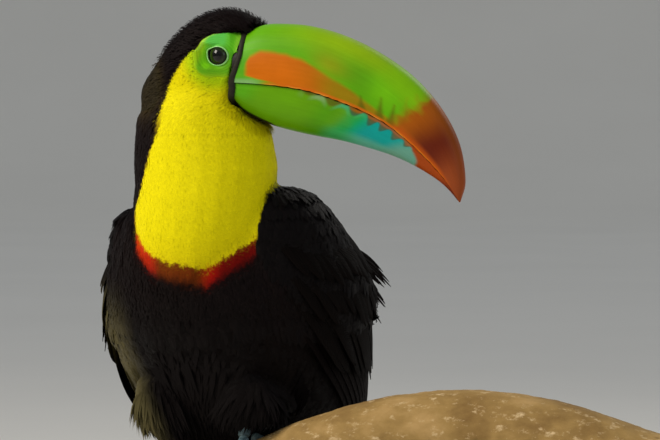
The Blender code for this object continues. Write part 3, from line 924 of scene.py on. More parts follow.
def make_coat(name, hide, density, profile, length, width, rise, droop, slot, seed, jitter=8.0, shade=0.10,
              lie=flow, tint=markings, silk=0.75, spread=(0.8, 1.1), curve=60.0, cling=1.0, even=0.0):
    """One piece of the coat.  Lengths in mm; each may be a function of the root's place.

    curve is the radius that the vanes bend to, so that they hug a rounded body.  With less
    cling they keep to their own heading where the body falls away below them, and even lets
    the front's long feathers shade as one surface."""
    rng = np.random.default_rng(seed)
    root, normal, uv = hide.sow(density, rng)
    count = len(root)
    bird = world_to_bird(root)

    def size(value, vary=(0.82, 1.18)):
        value = value(bird) if callable(value) else np.full(count, float(value))
        return value * rng.uniform(*vary, count) * MM

    along = lie(bird)
    leaving = (along * normal).sum(1)[:, None]
    along = unit(along - normal * np.where(leaving > 0, cling * leaving, leaving))
    turn = np.radians(rng.normal(0, jitter, count))[:, None]
    along = along * np.cos(turn) + np.cross(normal, along) * np.sin(turn)
    long, wide, high = size(length), size(width), size(rise, spread)
    low = droop * MM + long ** 2 / (2 * curve * MM)
    profile = PROFILES[profile]
    points = vane_points(root, along, normal, long, wide, high, low, profile)
    # Markings read a little astray, each vane with its own shade, and painted shade darkening it at its
    # root
    colour = tint(world_to_bird(points) + rng.normal(0, 0.28, (count, 1, 3)))
    colour = colour * (1 + shade * rng.normal(0, 1, count))[:, None, None].clip(0.5, 1.5)
    root_shade = np.array([0.8] * 3 + [1.0] * (len(profile) * 3 - 3) + [1.04])
    colour = colour * root_shade[None, :, None]
    # Each vane's patch of the bake map lies at its root's place on the skin's unwrap
    place = vane_map(profile)
    spot = MARGIN + (1 - 2 * MARGIN) * (uv - uv.min(0)) / (uv.max(0) - uv.min(0))
    patch = (spot[:, None] + (place - 0.5) * PATCH).clip(0.0005, 0.9995)
    # Barbs part the light as the whole coat does, so each vane shades nearly as the skin below it
    level = (even * step(-normal[:, 1], 0.0, 0.5))[:, None]
    facing = normal * (1 - level) + level * np.array((0.0, -1.0, 0.0)) + along * 0.10
    facing = unit(facing + rng.normal(0, 0.45 * (1 - silk), (count, 3)))
    across = unit(np.cross(along, normal))
    roll = ((place[:, 0] - 0.5) * 2)[None, :, None] * across[:, None] * (1 - silk)
    facing = unit(facing[:, None] + roll)
    faces = vane_faces(profile) + (np.arange(count) * len(place))[:, None, None]
    new_piece(name, points.reshape(-1, 3), faces.reshape(-1, 3), hide.materials[slot], slot,
              colour=colour.reshape(-1, 3), normals=facing.reshape(-1, 3),
              maps={"OFBake": patch.reshape(-1, 2), "Vane": np.tile(place, (count, 1))})


def plumage_material(name, roughness, specular):
    """Feather vanes: keratin barbs that part the light; a shaft line and barb ridges show."""
    material, tree, shader = new_material(name, Roughness=roughness, Specular_IOR_Level=specular, IOR=1.54)
    marking = add(tree, 'VertexColor', layer_name="Marking")
    where = add(tree, 'UVMap', uv_map="Vane")
    mapping = add(tree, 'Mapping', {"Scale": (14.0, 20.0, 1.0)}, {"Vector": where})
    barbs = add(tree, 'TexWave', {"Scale": 1.0, "Distortion": 1.5}, {"Vector": mapping},
                wave_type='BANDS', bands_direction='DIAGONAL').outputs["Fac"]
    shade = add(tree, 'MapRange', {"To Min": 0.82, "To Max": 1.08}, {"Value": barbs})
    tint = add(tree, 'MixRGB', {"Fac": 1.0}, {"Color1": marking, "Color2": shade}, blend_type='MULTIPLY')
    bump = add(tree, 'Bump', {"Strength": 0.25, "Distance": 0.0002}, {"Height": barbs})
    link(tree, shader, {"Base Color": tint, "Normal": bump})
    return material


def make_plumage(skin):
    hide = Hide(skin, {"yellow_plumage": plumage_material("silky_yellow_feather", 0.6, 0.04),
                       "black_plumage": plumage_material("black_feather", 0.55, 0.05)})
    parts, (_, y, z), forward = hide.parts, hide.centre.T, hide.head[:, 0]
    gold = markings(hide.centre)
    yellow = gold[:, 1] > 0.15
    red_band = (gold[:, 0] > 0.10) & (z < 345) & ~yellow
    arms = parts["wing_left"] | parts["wing_right"]
    soft = parts["head"] | parts["neck"] | (parts["trunk"] & (z > 280)) | (arms & yellow & (z > 318))
    # No feathers where the horn covers the skin
    keel = np.interp(forward, *np.transpose(KEEL[:3]))
    under_horn = ((forward > 23) & (z < 433) & (z > keel + 1)) | ((forward > 36) & (z > 400))
    covered = (hide.from_collar < 1.1) | under_horn
    ready = soft * fall(hide.bare, 0.2, 0.8) * ~covered
    make_coat("coat_crown", hide, ready * (z > 392) * ~yellow * (1.5 + 1.2 * step(forward, 8, 24)), "slim",
              lambda p: 6.5 - 2.5 * step(bird_to_head(p)[:, 0], 8, 30), 0.8, 1.15, 0.0,
              "black_plumage", 11, jitter=12, spread=(0.5, 1.2), curve=24, tint=never_pale)
    make_coat("coat_crest", hide, ready * (z > 412) * ~yellow * step(z, 412, 430) * 0.42, "slim",
              lambda p: 4.6 - 1.2 * step(bird_to_head(p)[:, 0], 20, 32), 0.75,
              lambda p: 2.5 - 0.9 * step(bird_to_head(p)[:, 0], 26, 35), 0.0,
              "black_plumage", 22, jitter=16, spread=(0.75, 1.25), curve=26, tint=never_pale)
    make_coat("coat_face", hide, ready * (z > 380) * (z < 423.5) * yellow * 2.4, "slim",
              lambda p: 3.0 + 4.0 * fall(p[:, 2], 390, 412) - 1.2 * lime_reach(bird_to_head(p)), 0.9,
              lambda p: 1.0 - 0.55 * lime_reach(bird_to_head(p)), 0.15,
              "yellow_plumage", 12, silk=0.92, shade=0.05, jitter=7, spread=(0.9, 1.05), curve=30)
    for name, low, high, seed in (("coat_bib_upper", 345, 380, 13), ("coat_bib_lower", 270, 345, 14)):
        make_coat(name, hide, ready * (z <= high) * (z > low) * (yellow | red_band) * 1.6, "slim",
                  9.0, 1.4, 1.5, 0.2, "yellow_plumage", seed, jitter=4, shade=0.035, silk=0.94,
                  spread=(0.92, 1.04), curve=42)
    make_coat("coat_nape", hide, ready * ~yellow * ~red_band * (z <= 392) * 0.95, "slim",
              9.5, 1.5, 1.7, 0.2, "black_plumage", 15, jitter=8, curve=42)
    body = parts["trunk"] & ~soft & (z > 130)
    make_coat("coat_breast", hide, body * (y < -20) * 0.5, "round",
              13.0, 3.6, 2.6, 0.4, "black_plumage", 16, jitter=6)
    make_coat("coat_back", hide, body * (y >= -20) * 0.45, "round",
              14.0, 4.0, 2.6, 0.4, "black_plumage", 17, jitter=6)
    # Long feathers of thighs and belly hang over the legs, shorter at the sides
    long_feathers = dict(lie=hanging, jitter=5, even=0.92, silk=0.9, shade=0.06)
    thighs = parts["thigh_left"] | parts["thigh_right"]
    belly = parts["trunk"] * fall(z, 240, 270) * (y < -30)
    make_coat("coat_thighs", hide, thighs * 0.9 + belly * 0.3, "slim",
              lambda p: 15.0 + 6.0 * fall(p[:, 2], 220, 245)
              + 3.0 * fall(p[:, 2], 214, 226) * fall(np.abs(p[:, 0]), 24, 34), 2.6,
              lambda p: 2.6 - 1.8 * step(np.abs(p[:, 0]), 28, 40), 0.4,
              "black_plumage", 18, curve=90, cling=0.6, **long_feathers)
    skirt = (thighs | parts["trunk"]) & (z < 262) & (z > 203) & (y < -52)
    make_coat("coat_belly", hide, skirt * fall(z, 236, 262) * 0.55, "slim",
              lambda p: 26.0 - 6.0 * step(np.abs(p[:, 0]), 28, 42), 3.0,
              lambda p: 3.0 - 1.6 * step(np.abs(p[:, 0]), 26, 40), 0.2,
              "black_plumage", 21, curve=160, cling=0.4, **long_feathers)
    for side, seed in (("left", 19), ("right", 20)):
        arm = parts["wing_" + side] & ~soft & ((z > 282) | (y < 12))
        make_coat("coat_arm_" + side, hide, arm * 0.5, "round",
                  lambda p: 9.0 + 5.0 * fall(p[:, 2], 290, 330), 3.8, 2.2, 0.3,
                  "black_plumage", seed, jitter=7, tint=black_only, curve=45)


# ---------------------------------------------------------------- bill

BILL_RINGS = 330
BILL_SIDES = 110
# The lower half's painted teeth: places from base to tip, and how far down each one reaches
TEETH = (0.19, 0.295, 0.395, 0.490, 0.556, 0.598, 0.651, 0.697, 0.728, 0.76)
TOOTH_DEPTHS = (0.03, 0.07, 0.16, 0.20, 0.22, 0.20, 0.23, 0.17, 0.10, 0.05)
# Upper outline of the orange blaze, as (place from base to tip, height)
BLAZE_TOP = ((0.040, 0.20), (0.055, 0.36), (0.075, 0.47), (0.121, 0.54), (0.181, 0.54), (0.241, 0.50),
             (0.307, 0.44), (0.347, 0.375), (0.407, 0.29), (0.467, 0.225), (0.508, 0.185), (0.568, 0.13),
             (0.66, 0.10))
# Dark flames on the upper half: places and heights
FLAMES = ((0.508, 0.24), (0.573, 0.39), (0.616, 0.43), (0.657, 0.47))


def flames(s, t):
    """Pointed marks that rise from the cutting edge, leaning back: 1 inside."""
    mark = np.zeros_like(s)
    for place, high in FLAMES:
        up = np.clip(t / high, 0, 1)
        half = 0.020 * (1 - up) ** 1.4
        mark = np.maximum(mark, fall(np.abs(s - (place - 0.012 * up)) - half, -0.010, 0.010) * (t < high))
    return mark


def paint_upper(s, t, rough):
    """Upper half: leaf green, a broad orange blaze, dark flame marks and a red tip.

    s runs from base to tip and t from the cutting edge to the ridge."""
    colour = blend(plain("#5AA204", s.shape),
                   ("#8CAE06", 0.9 * step(t, 0.50, 0.90) * bell(s, 0.44, 0.20)),
                   ("#4E8E08", 0.6 * bell(s, 0.48, 0.10) * bell(t, 0.5, 0.25)),
                   ("#6FBB08", 0.7 * bell(s, 0.57, 0.05) * bell(t, 0.5, 0.25)),
                   ("#4A9A1C", 0.7 * fall(s, 0.04, 0.08) * fall(t, 0.3, 0.75)),
                   ("#86A878", 0.6 * fall(t, 0.03, 0.12) * fall(s, 0.06, 0.14)),
                   ("#8E8E04", 0.7 * bell(s, 0.385, 0.06) * bell(t, 0.52, 0.18)),
                   ("#78B604", 0.7 * step(s, 0.52, 0.60) * step(t, 0.45, 0.75)))
    # Orange blaze between its lower and its upper outline, browner and fainter forward
    low = np.interp(s, (0.0, 0.06, 0.10, 0.16, 0.22), (0.14, 0.12, 0.07, 0.03, -0.02))
    top = np.interp(s, *np.transpose(BLAZE_TOP))
    blaze = step(s + 0.004 * rough, 0.044, 0.066) * step(t - low, -0.012, 0.03)
    blaze = blaze * fall(t - top + 0.02 * rough, -0.05, 0.045) * (1 - 0.25 * step(s, 0.3, 0.42))
    orange = blend(plain("#C46402", s.shape), ("#9E6002", step(s, 0.20, 0.42)))
    colour = blend(mix(colour, orange, blaze), ("#5A5C04", 0.8 * flames(s, t)))
    # Red tip with a frayed border, darkest in its middle
    reach = np.interp(t, (0, 0.05, 0.29, 0.49, 0.72, 1.0), (0.618, 0.624, 0.634, 0.648, 0.662, 0.668))
    fringe = 0.026 * rough + 0.004 * np.sin(t * 19 + 9 * rough)
    tip = blend(plain("#9C5006", s.shape),
                ("#5E1B0C", step(s - reach, 0.02, 0.12) * (0.95 - 0.5 * step(t, 0.72, 1.0))),
                ("#9C4A20", 0.8 * step(s, 0.76, 0.88)),
                ("#B8500A", 0.75 * fall(t, 0.05, 0.20) * fall(s, 0.80, 0.97)))
    colour = mix(colour, tip, step(s - reach - fringe, -0.034, 0.026))
    # Orange cutting edge, a wavy painted highlight along its very border, and black under the rim
    rim = fall(t, 0.030, 0.060) * step(s, 0.09, 0.16) * fall(s, 0.80, 0.95)
    edge_glint = fall(t, 0.008, 0.026) * step(s, 0.10, 0.16) * fall(s, 0.72, 0.80)
    return blend(colour,
                 ("#C4600A", 0.85 * rim),
                 ("#DC9430", 0.6 * edge_glint * step(rough + np.sin(s * 60), -0.6, 0.8)),
                 ("#1A1612", fall(s - collar_share(t), -0.004, 0.002)))


def paint_lower(s, t, rough):
    """Lower half: green, then turquoise and blue, scalloped along the edge, with a red tip."""
    colour = blend(plain("#5E9803", s.shape),
                   ("#4FA816", 0.6 * fall(s, 0.05, 0.14) * fall(t, 0.35, 0.75)),
                   ("#4A9006", 0.8 * bell(s, 0.40, 0.05)),
                   ("#069A48", step(s - 0.06 * (0.5 - t) - 0.02 * rough, 0.400, 0.53)),
                   ("#03938C", step(s - 0.04 * (0.5 - t), 0.49, 0.57)))
    keel = blend(plain("#3FA65A", s.shape), ("#62B094", step(s, 0.48, 0.60)))
    colour = mix(colour, keel, 0.85 * step(t, 0.55, 0.85) * step(s, 0.40, 0.48))
    colour = blend(colour, ("#6E9C84", 0.75 * step(s - 0.05 * (0.5 - t), 0.64, 0.71)))
    # Pointed brown teeth hang from a rust-brown edge; between them rounded bays, pale then turquoise
    phase = np.interp(s, TEETH, np.arange(len(TEETH)))
    tooth = step(1 - 2 * np.abs(phase - np.round(phase)), 0.12, 0.95)
    toothed = step(s, 0.25, 0.30)
    edge = 0.008 + 0.075 * step(s, 0.50, 0.57) + np.interp(s, TEETH, TOOTH_DEPTHS) * tooth
    bay = blend(plain("#7FA26C", s.shape), ("#3FA874", step(s, 0.36, 0.44)))
    in_bay = fall(s, 0.50, 0.56) * fall(t - edge, 0.05, 0.15) * (1 - tooth)
    colour = mix(colour, bay, 0.8 * toothed * in_bay)
    rust = np.maximum(step(s, 0.62, 0.72), step(s, 0.40, 0.5) * fall(t, 0.05, 0.12))
    brown = blend(plain("#5A600E", s.shape),
                  ("#5E4E1E", step(s, 0.40, 0.50)),
                  ("#9A4E08", rust),
                  ("#2A5C48", 0.9 * step(t / edge, 0.35, 0.9) * step(s, 0.42, 0.48)))
    colour = mix(colour, brown, 0.88 * toothed * fall(t - edge, -0.045, 0.035))
    # Red tip, painted shade along the cutting edge where the halves part, black along the keel's base and
    # under the rim
    reach = np.interp(t, (0, 0.13, 0.44, 0.6, 1.0), (0.700, 0.728, 0.772, 0.785, 0.80))
    under = np.interp(s, (0.0, 0.03, 0.06, 0.14, 0.216, 0.26), (0.50, 0.76, 0.83, 0.87, 0.92, 1.02))
    return blend(colour,
                 ("#9A3F0A", step(s - reach - 0.016 * rough, -0.012, 0.012)),
                 ("#6A260E", step(s, 0.84, 0.95)),
                 ("#3A2408", 0.5 * fall(t, 0.0, 0.015)),
                 ("#17130E", step(t - under, -0.015, 0.015) * fall(s, 0.235, 0.265)),
                 ("#1A1612", fall(s, 0.010, 0.014)))


def serration(share, teeth):
    """Uneven saw teeth along the cutting edge, 0 to 1, none at the base or the tip."""
    phase = share * teeth + 0.25 * np.sin(share * 17.0)
    return np.abs((phase % 1.0) * 2 - 1) ** 2 * step(share, 0.10, 0.2) * fall(share, 0.80, 0.92)


def make_bill(material):
    """Both halves, fine enough for their markings, with faint teeth along the cutting edges."""
    # Columns crowd together at the cutting edges, where the teeth are
    around = np.linspace(0, 1, BILL_SIDES)
    around = math.pi * (around - 0.95 * np.sin(2 * math.pi * around) / (2 * math.pi))
    share, angle = np.meshgrid(np.linspace(0, 1, BILL_RINGS), around, indexing="ij")
    for name, half, painter, teeth, tooth_height, reach in (
            ("upper", UPPER, paint_upper, 24, 0.28, 1.0), ("lower", LOWER, paint_lower, 22, -0.28, 0.985)):
        s = share * reach
        roundness = half[2]
        t = np.sin(angle) ** roundness
        points = horn_points(half, s, angle)
        points[..., 2] += tooth_height * serration(s, teeth) * fall(t, 0.0, 0.045)
        rough = wobble(points.reshape(-1, 3), 0.16, 3.0).reshape(t.shape)
        piece = new_piece("horn_" + name, with_caps(head_to_world(points)),
                          grid_triangles(BILL_RINGS, BILL_SIDES), material, "bill_horn",
                          colour=with_caps(painter(s, t, rough)),
                          maps={"Horn": with_caps(np.stack([angle / math.pi, s], -1))})
        face_outward(piece, 50)
        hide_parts("bill_" + name)


def horn_material():
    """Bill sheath: smooth keratin with a satin polish, faint growth lines and soft mottling."""
    material, tree, shader = new_material("keratin_bill", Roughness=0.42, IOR=1.54, Specular_IOR_Level=0.10)
    marking = add(tree, 'VertexColor', layer_name="Marking")
    where = add(tree, 'UVMap', uv_map="Horn")
    stretch = add(tree, 'Mapping', {"Scale": (26.0, 3.0, 1.0)}, {"Vector": where})
    grain = add(tree, 'TexNoise', {"Scale": 2.2, "Detail": 6.0, "Roughness": 0.6}, {"Vector": stretch})
    place = add(tree, 'TexCoord').outputs["Object"]
    mottle = add(tree, 'TexNoise', {"Scale": 70.0, "Detail": 3.0}, {"Vector": place})
    mixed = add(tree, 'Math', {}, {0: grain, 1: mottle}, operation='ADD')
    shade = add(tree, 'MapRange', {"From Min": 0.6, "From Max": 1.4, "To Min": 0.88, "To Max": 1.10},
                {"Value": mixed})
    tint = add(tree, 'MixRGB', {"Fac": 1.0}, {"Color1": marking, "Color2": shade}, blend_type='MULTIPLY')
    polish = add(tree, 'MapRange', {"From Min": 0.3, "From Max": 0.7, "To Min": 0.36, "To Max": 0.50},
                 {"Value": grain})
    bump = add(tree, 'Bump', {"Strength": 0.18, "Distance": 0.0004}, {"Height": grain})
    link(tree, shader, {"Base Color": tint, "Roughness": polish, "Normal": bump})
    return material


def make_collar(material):
    """Black raised rim where the horn meets the skin."""
    line = collar_line(64)
    out = unit((line - line.mean(0)) * (0, 1, 1))
    around = whole_turn(12)
    half = np.interp(line[:, 2], (393.2, 394.5, 397, 404, 409, 414, 423, 431),
                     (1.2, 1.4, 1.9, 2.0, 1.9, 1.5, 1.4, 1.7))
    forward = np.cos(around) * half[:, None]
    lift = 0.45 + 0.75 * np.sin(around)
    grid = line[:, None] + forward[..., None] * (1, 0, 0) + lift[:, None] * out[:, None]
    faces = hoop_faces(len(line), len(around))
    face_outward(new_piece("bill_rim", head_to_world(grid).reshape(-1, 3), faces, material, "bill_horn"))


def dark_rim_material():
    """Rim of matt black horn, a little cracked by wear."""
    return two_tone_material("black_horn_rim", ("#0F0C09", "#2C2A1E"), 'TexNoise',
                             {"Scale": 420.0, "Detail": 4.0}, relief=(0.3, 0.0003),
                             Roughness=0.6, IOR=1.54, Specular_IOR_Level=0.15)


# ---------------------------------------------------------------- eyes

def eye_material():
    """Moist eye: dark olive iris with radial streaks round a black pupil, under a clear wet film."""
    material, tree, shader = new_material("wet_eye", Roughness=0.12, IOR=1.38, Coat_Weight=0.35,
                                          Coat_Roughness=0.02, Specular_IOR_Level=0.2)
    ring = add(tree, 'Attribute', attribute_name="Ring").outputs["Fac"]
    ramp = add(tree, 'ValToRGB', {}, {"Fac": ring})
    set_ramp(ramp, ((0.0, "#030303"), (0.38, "#050504"), (0.44, "#131C08"), (0.56, "#202D0C"),
                    (0.74, "#1A2509"), (0.86, "#0A0C08"), (1.0, "#070806")))
    where = add(tree, 'TexCoord').outputs["Object"]
    streak = add(tree, 'TexNoise', {"Scale": 900.0, "Detail": 2.0}, {"Vector": where})
    shade = add(tree, 'MapRange', {"To Min": 0.7, "To Max": 1.3}, {"Value": streak})
    tint = add(tree, 'MixRGB', {"Fac": 1.0}, {"Color1": ramp, "Color2": shade}, blend_type='MULTIPLY')
    link(tree, shader, {"Base Color": tint})
    return material


def make_eye(side, material):
    bpy.ops.object.select_all(action='DESELECT')
    bpy.ops.mesh.primitive_uv_sphere_add(segments=56, ring_count=40, radius=EYE_RADIUS, location=(0, 0, 0))
    eye = bpy.context.object
    eye.name = eye.data.name = "eyeball_" + side
    # The sphere's pole looks out of the head; the cornea swells a little in front
    across, up, out = read(eye.data, "co").T
    ring = np.hypot(across, up)
    in_front = out > 0
    out = out + np.where(in_front, 0.45 * bell(ring, 0, 3.4), 0)
    head = np.stack([across + EYE_CENTRE[0], (out + EYE_DEPTH) * MIRROR[side], up + EYE_CENTRE[1]], -1)
    move_points(eye.data, head_to_world(head))
    paint(eye.data, Ring=np.where(in_front, ring / EYE_RADIUS, 1.0))
    face_outward(eye)
    eye.data.shade_smooth()
    eye.data.materials.append(material)
    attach(eye, "root")
    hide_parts("eye_" + side)


def make_lid(side, material):
    """Thin naked rim of the lids, drawn to a corner at the rear, lying on the eyeball."""
    around = whole_turn(72)[:, None]
    section = whole_turn(10)
    radius = LID_RADIUS / (1 - LID_DRAWN * lid_corner(around)) + 0.34 * np.cos(section)
    forward = LID_CENTRE[0] + radius * np.cos(around)
    up = LID_CENTRE[1] + LID_SQUASH * radius * np.sin(around)
    out = lid_level(np.stack([forward, 0 * up, up], -1)) + 0.36 * np.sin(section)
    grid = head_to_world(np.stack([forward, MIRROR[side] * out, up], -1))
    face_outward(new_piece("lid_" + side, grid.reshape(-1, 3), hoop_faces(*out.shape), material,
                           "yellow_plumage"))


def lid_material():
    """Lid rim: thin pale green skin, finely beaded and slightly moist."""
    return two_tone_material("lid_skin", ("#B4E898", "#7ECB66"), 'TexVoronoi', {"Scale": 1400.0},
                             relief=(0.4, 0.0002), Roughness=0.35, IOR=1.4, Coat_Weight=0.3,
                             Coat_Roughness=0.2)


# ---------------------------------------------------------------- large feathers

# Round a blade's section: place from one edge to the other, height in thicknesses, and where it
# lies on the feather's map
BLADE_SECTION = ((-1, 0.0, 0.0), (-0.55, 0.75, 0.22), (0, 1.0, 0.5), (0.55, 0.75, 0.78),
                 (1, 0.0, 1.0), (0.5, -0.25, 0.80), (0, -0.25, 0.52), (-0.5, -0.25, 0.20))
QUILL_BLACK = ("#0A0605", "#100908")
COVERT_BLACK = ("#090605", "#0F0A08")
# Wrist to tip: height, front edge (x, y), back edge (x, y), outward bow, half thickness, in mm
WING_STATIONS = (
    (350, 37, -80, 43, -60, 1.5, 3), (344, 36, -89, 47, -42, 6.5, 7), (332, 37, -95, 48, -20, 11, 9),
    (318, 38, -97, 48, -2, 15, 9.5), (304, 41, -96, 48, 14, 19, 9.5), (289, 44.5, -92, 47, 25, 20, 9.5),
    (270, 50, -84, 40, 33, 20, 8.5), (250, 55, -69, 33, 41, 17, 7.5), (229, 57, -45, 26, 49, 14, 6),
    (205, 51, -16, 20, 57, 10, 4.5), (182, 40, 12, 16, 65, 6, 3.5), (160, 28, 38, 14, 72, 2, 2.5),
    (142, 17, 66, 13, 75, 0, 1))
# Base to tip of the tail: y, z, half width, half thickness, in mm
TAIL_STATIONS = ((36, 163, 12, 6), (52, 143, 17, 6), (68, 122, 22, 5), (85, 99, 26, 4),
                 (101, 77, 28, 3), (113, 60, 26, 2.4), (121, 48, 19, 1.8), (127, 40, 7, 1))
# Loose plumes by the wing: root, tip, half width, thickness, in mm
PLUMES = {
    "left": (((52, -2, 311), (63, 30, 288), 9, 3.4), ((52, 2, 301), (60, 32, 276.5), 8, 2.9),
             ((51, 6, 291), (56, 33, 267.5), 8, 2.7)),
    "right": (((-70, -50, 296), (-86, -36, 250), 9, 3.2),),
}


def blade(spine, outward, half_width, crown, thickness, tilt=0.0):
    """A closed feather vane on a spine: arched across, thin at the edges, one edge raised by tilt.

    spine and outward are (stations, 3) in mm, half_width (stations,).  Returns rings."""
    across = unit(np.cross(np.gradient(spine, axis=0), outward))
    rings = []
    for side, level, _ in BLADE_SECTION:
        lift = half_width * (crown * (1 - side * side) + tilt * side) + thickness * level
        rings.append(spine + across * (half_width * side)[:, None] + outward * lift[:, None])
    return np.stack(rings, 1)


def feather_outline(share, blunt, notch=None, notch_depth=0.0, notch_width=1.0):
    """Half width along a flight feather as a share of its widest, from base to rounded tip, with
    a notch where its barbs have parted."""
    rounding = (1 - np.clip((share - blunt) / (1 - blunt), 0, 1) ** 2.2) ** 0.6
    width = np.clip(0.55 + 0.9 * share, 0, 1) * rounding + 0.02
    return width * (1 - notch_depth * bell(share, notch, notch_width))


def join_blades(name, blades, material, replaced, rng, colours=QUILL_BLACK):
    """Many blades as one piece.  The bake map gives each blade a strip of its own."""
    points, faces, tints, strips, vanes = [], [], [], [], []
    start = 0
    strip = 0.996 / len(blades)
    for number, rings in enumerate(blades):
        rows, columns = rings.shape[:2]
        share = np.linspace(0, 1, rows)[:, None] * np.ones(columns)
        side = np.array([place for _, _, place in BLADE_SECTION]) * np.ones((rows, 1))
        tint = blend(plain(colours[0], (rows, columns)),
                     (colours[1], np.abs(side - 0.5) * 1.2 + 0.3 * share)) * rng.uniform(0.9, 1.12)
        places = np.stack([0.002 + (number + 0.04 + 0.92 * side) * strip,
                           0.004 + 0.99 * share + 0.002 * side], -1)
        points.append(with_caps(rings))
        faces.append(grid_triangles(rows, columns) + start)
        # Quills on the right flank take the same painted sheen of reflected light
        tints.append(with_caps(blend(tint, (QUILL_SHEEN, 0.85 * flank_sheen_share(rings)))))
        strips.append(with_caps(places))
        vanes.append(with_caps(np.stack([side, share * 4], -1)))
        start += rows * columns + 2
    piece = new_piece(name, bird_to_world(np.vstack(points)), np.vstack(faces), material, "black_plumage",
                      colour=np.vstack(tints), maps={"OFBake": np.vstack(strips), "Vane": np.vstack(vanes)})
    face_outward(piece, 60)
    if replaced:
        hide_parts(replaced)


def on_wing(side, lengthwise, across, height):
    """Point and outward direction on the folded wing: lengthwise 0 to 1 from wrist to tip,
    across -1 at the front edge to 1 at the back, height as a share of the half thickness."""
    sign = MIRROR[side]
    station = smooth_curve(WING_STATIONS, lengthwise)
    z, front_x, front_y, back_x, back_y, bow, thick = np.moveaxis(station, -1, 0)
    away = np.zeros_like(z)
    if side == "right":
        # The right wing hangs a little lower and stands off the body
        away = 7 + 19 * bell(z, 214, 34)
        z = z - 13 * np.clip((z - 250) / 70, 0, 1)
    front = np.stack([sign * (front_x + away * 0.6), front_y, z], -1)
    back = np.stack([sign * (back_x + away * 0.8), back_y, z], -1)
    chord = (back - front) / 2
    out = unit(np.stack([sign * chord[..., 1], -sign * chord[..., 0], 0 * z], -1))
    lift = bow * (1 - across ** 2) + thick * height * np.sqrt(np.maximum(1 - 0.8 * across ** 2, 0.05))
    slope = -2 * bow * across
    chord_length = np.linalg.norm(chord, axis=-1)
    normal = unit(out * chord_length[..., None] - unit(chord) * slope[..., None])
    return (front + back) / 2 + chord * across[..., None] + out * lift[..., None], normal


def wing_feather(side, root, tip, half_width, heights, stations, rng, blunt):
    """One blade laid on the wing from root to tip, both (lengthwise, across)."""
    share = np.linspace(0, 1, stations)
    lengthwise, across, height = (start + (end - start) * share
                                  for start, end in zip((*root, heights[0]), (*tip, heights[1])))
    across = np.clip(across + 0.06 * np.sin(share * math.pi), -1, 1)
    spine, outward = on_wing(side, lengthwise, across, height)
    width = half_width * feather_outline(share, blunt, rng.uniform(0.55, 0.85), 0.12, 0.02)
    return blade(spine, outward, width, 0.10, 0.35, 0.11 * MIRROR[side])


def make_wing_feathers(side, material):
    rng = np.random.default_rng({"left": 31, "right": 32}[side])
    # Primaries and secondaries: the innermost lies on top, the outermost at the front below
    quills = []
    for q in np.linspace(1, 0, 17):
        tip_length = np.interp(q, (0, 0.3, 0.5, 0.75, 0.93, 1.0), (0.75, 0.81, 0.87, 0.95, 0.995, 0.97))
        tip_across = np.interp(q, (0, 0.4, 0.7, 1.0), (0.82, 0.55, 0.10, -0.55))
        level = 0.85 - 0.35 * q
        quills.append(wing_feather(side, (0.46 + 0.03 * q, 0.80 - 1.62 * q), (tip_length, tip_across),
                                   6.2 - 1.2 * q, (level - 0.2, level), 26, rng, 0.86 if q < 0.6 else 0.72))
    join_blades("flight_feathers_" + side, quills, material, "flight_" + side, rng)
    # Greater and median coverts over their bases
    coverts = []
    for start, end, width, high, number in ((0.375, 0.60, 5.2, 0.95, 15), (0.27, 0.47, 4.6, 1.0, 16),
                                            (0.18, 0.36, 4.2, 1.02, 16)):
        for j in range(number - 1, -1, -1):
            q = (j + rng.uniform(-0.25, 0.25)) / (number - 1)
            root = (start, 0.82 - 1.68 * q)
            tip = (end + rng.uniform(-0.02, 0.02) + 0.02 * math.sin(q * 3), 0.92 - 1.55 * q)
            heights = (high - 0.65, high + rng.uniform(-0.05, 0.12))
            coverts.append(wing_feather(side, root, tip, width, heights, 14, rng, 0.62))
    join_blades("wing_coverts_" + side, coverts, material, None, rng, COVERT_BLACK)


def make_tail(material):
    """Ten graduated tail feathers, the middle pair on top and longest."""
    rng = np.random.default_rng(41)
    share = np.linspace(0, 1, 26)
    blades = []
    for rank in range(4, -1, -1):
        for sign in (1, -1):
            place = 0.02 + share * (0.965 - 0.045 * rank - 0.012 * rank ** 1.5)
            y, z, width, thick = np.moveaxis(smooth_curve(TAIL_STATIONS, place), -1, 0)
            down = unit(np.stack([0 * y, np.gradient(y), np.gradient(z)], -1))
            through = np.cross((1.0, 0.0, 0.0), down)
            offset = sign * (0.16 + 0.175 * rank)
            crown = 0.10 * width * (1 - offset ** 2)
            level = thick * (0.75 - 0.38 * rank) + (0.3 if sign > 0 else 0.0)
            spine = np.stack([width * offset, y, z], -1) + through * (level + crown)[:, None]
            half = 9.2 * feather_outline(share, 0.86, rng.uniform(0.7, 0.9), 0.1, 0.015)
            half = half * np.interp(share, (0, 0.3, 1), (0.55, 0.9, 1.0))
            blades.append(blade(spine, through, half, 0.06, 0.4))
    join_blades("tail_feathers", blades, material, "tail", rng)


def make_plumes(side, material):
    """Loose ruffled feathers whose barbs have parted into pointed strands."""
    rng = np.random.default_rng({"left": 51, "right": 52}[side])
    share = np.linspace(0, 1, 12)
    half = 1.7 * np.clip(0.5 + share, 0, 1) * (1 - share ** 2.5) ** 0.9 + 0.06
    blades = []
    for root, tip, width, thick in PLUMES[side]:
        run = np.subtract(tip, root).astype(float)
        across = unit(np.cross(run, (MIRROR[side], 0.2, 0.0)))
        out = unit(np.cross(across, run))
        for q in np.linspace(-1, 1, 11):
            reach = rng.uniform(0.82, 1.0) - 0.22 * q * q
            fan = q * width * (0.35 + 0.5 * share) * (1 - 0.35 * share ** 2)
            swell = thick * (0.3 + 0.5 * rng.random()) * np.sin(share * 2.4)
            spine = root + run * (share * reach)[:, None] + across * fan[:, None] + out * swell[:, None]
            blades.append(blade(spine, np.tile(out, (len(share), 1)), half, 0.15, 0.3))
    join_blades("loose_plumes_" + side, blades, material, "plumes_" + side, rng)


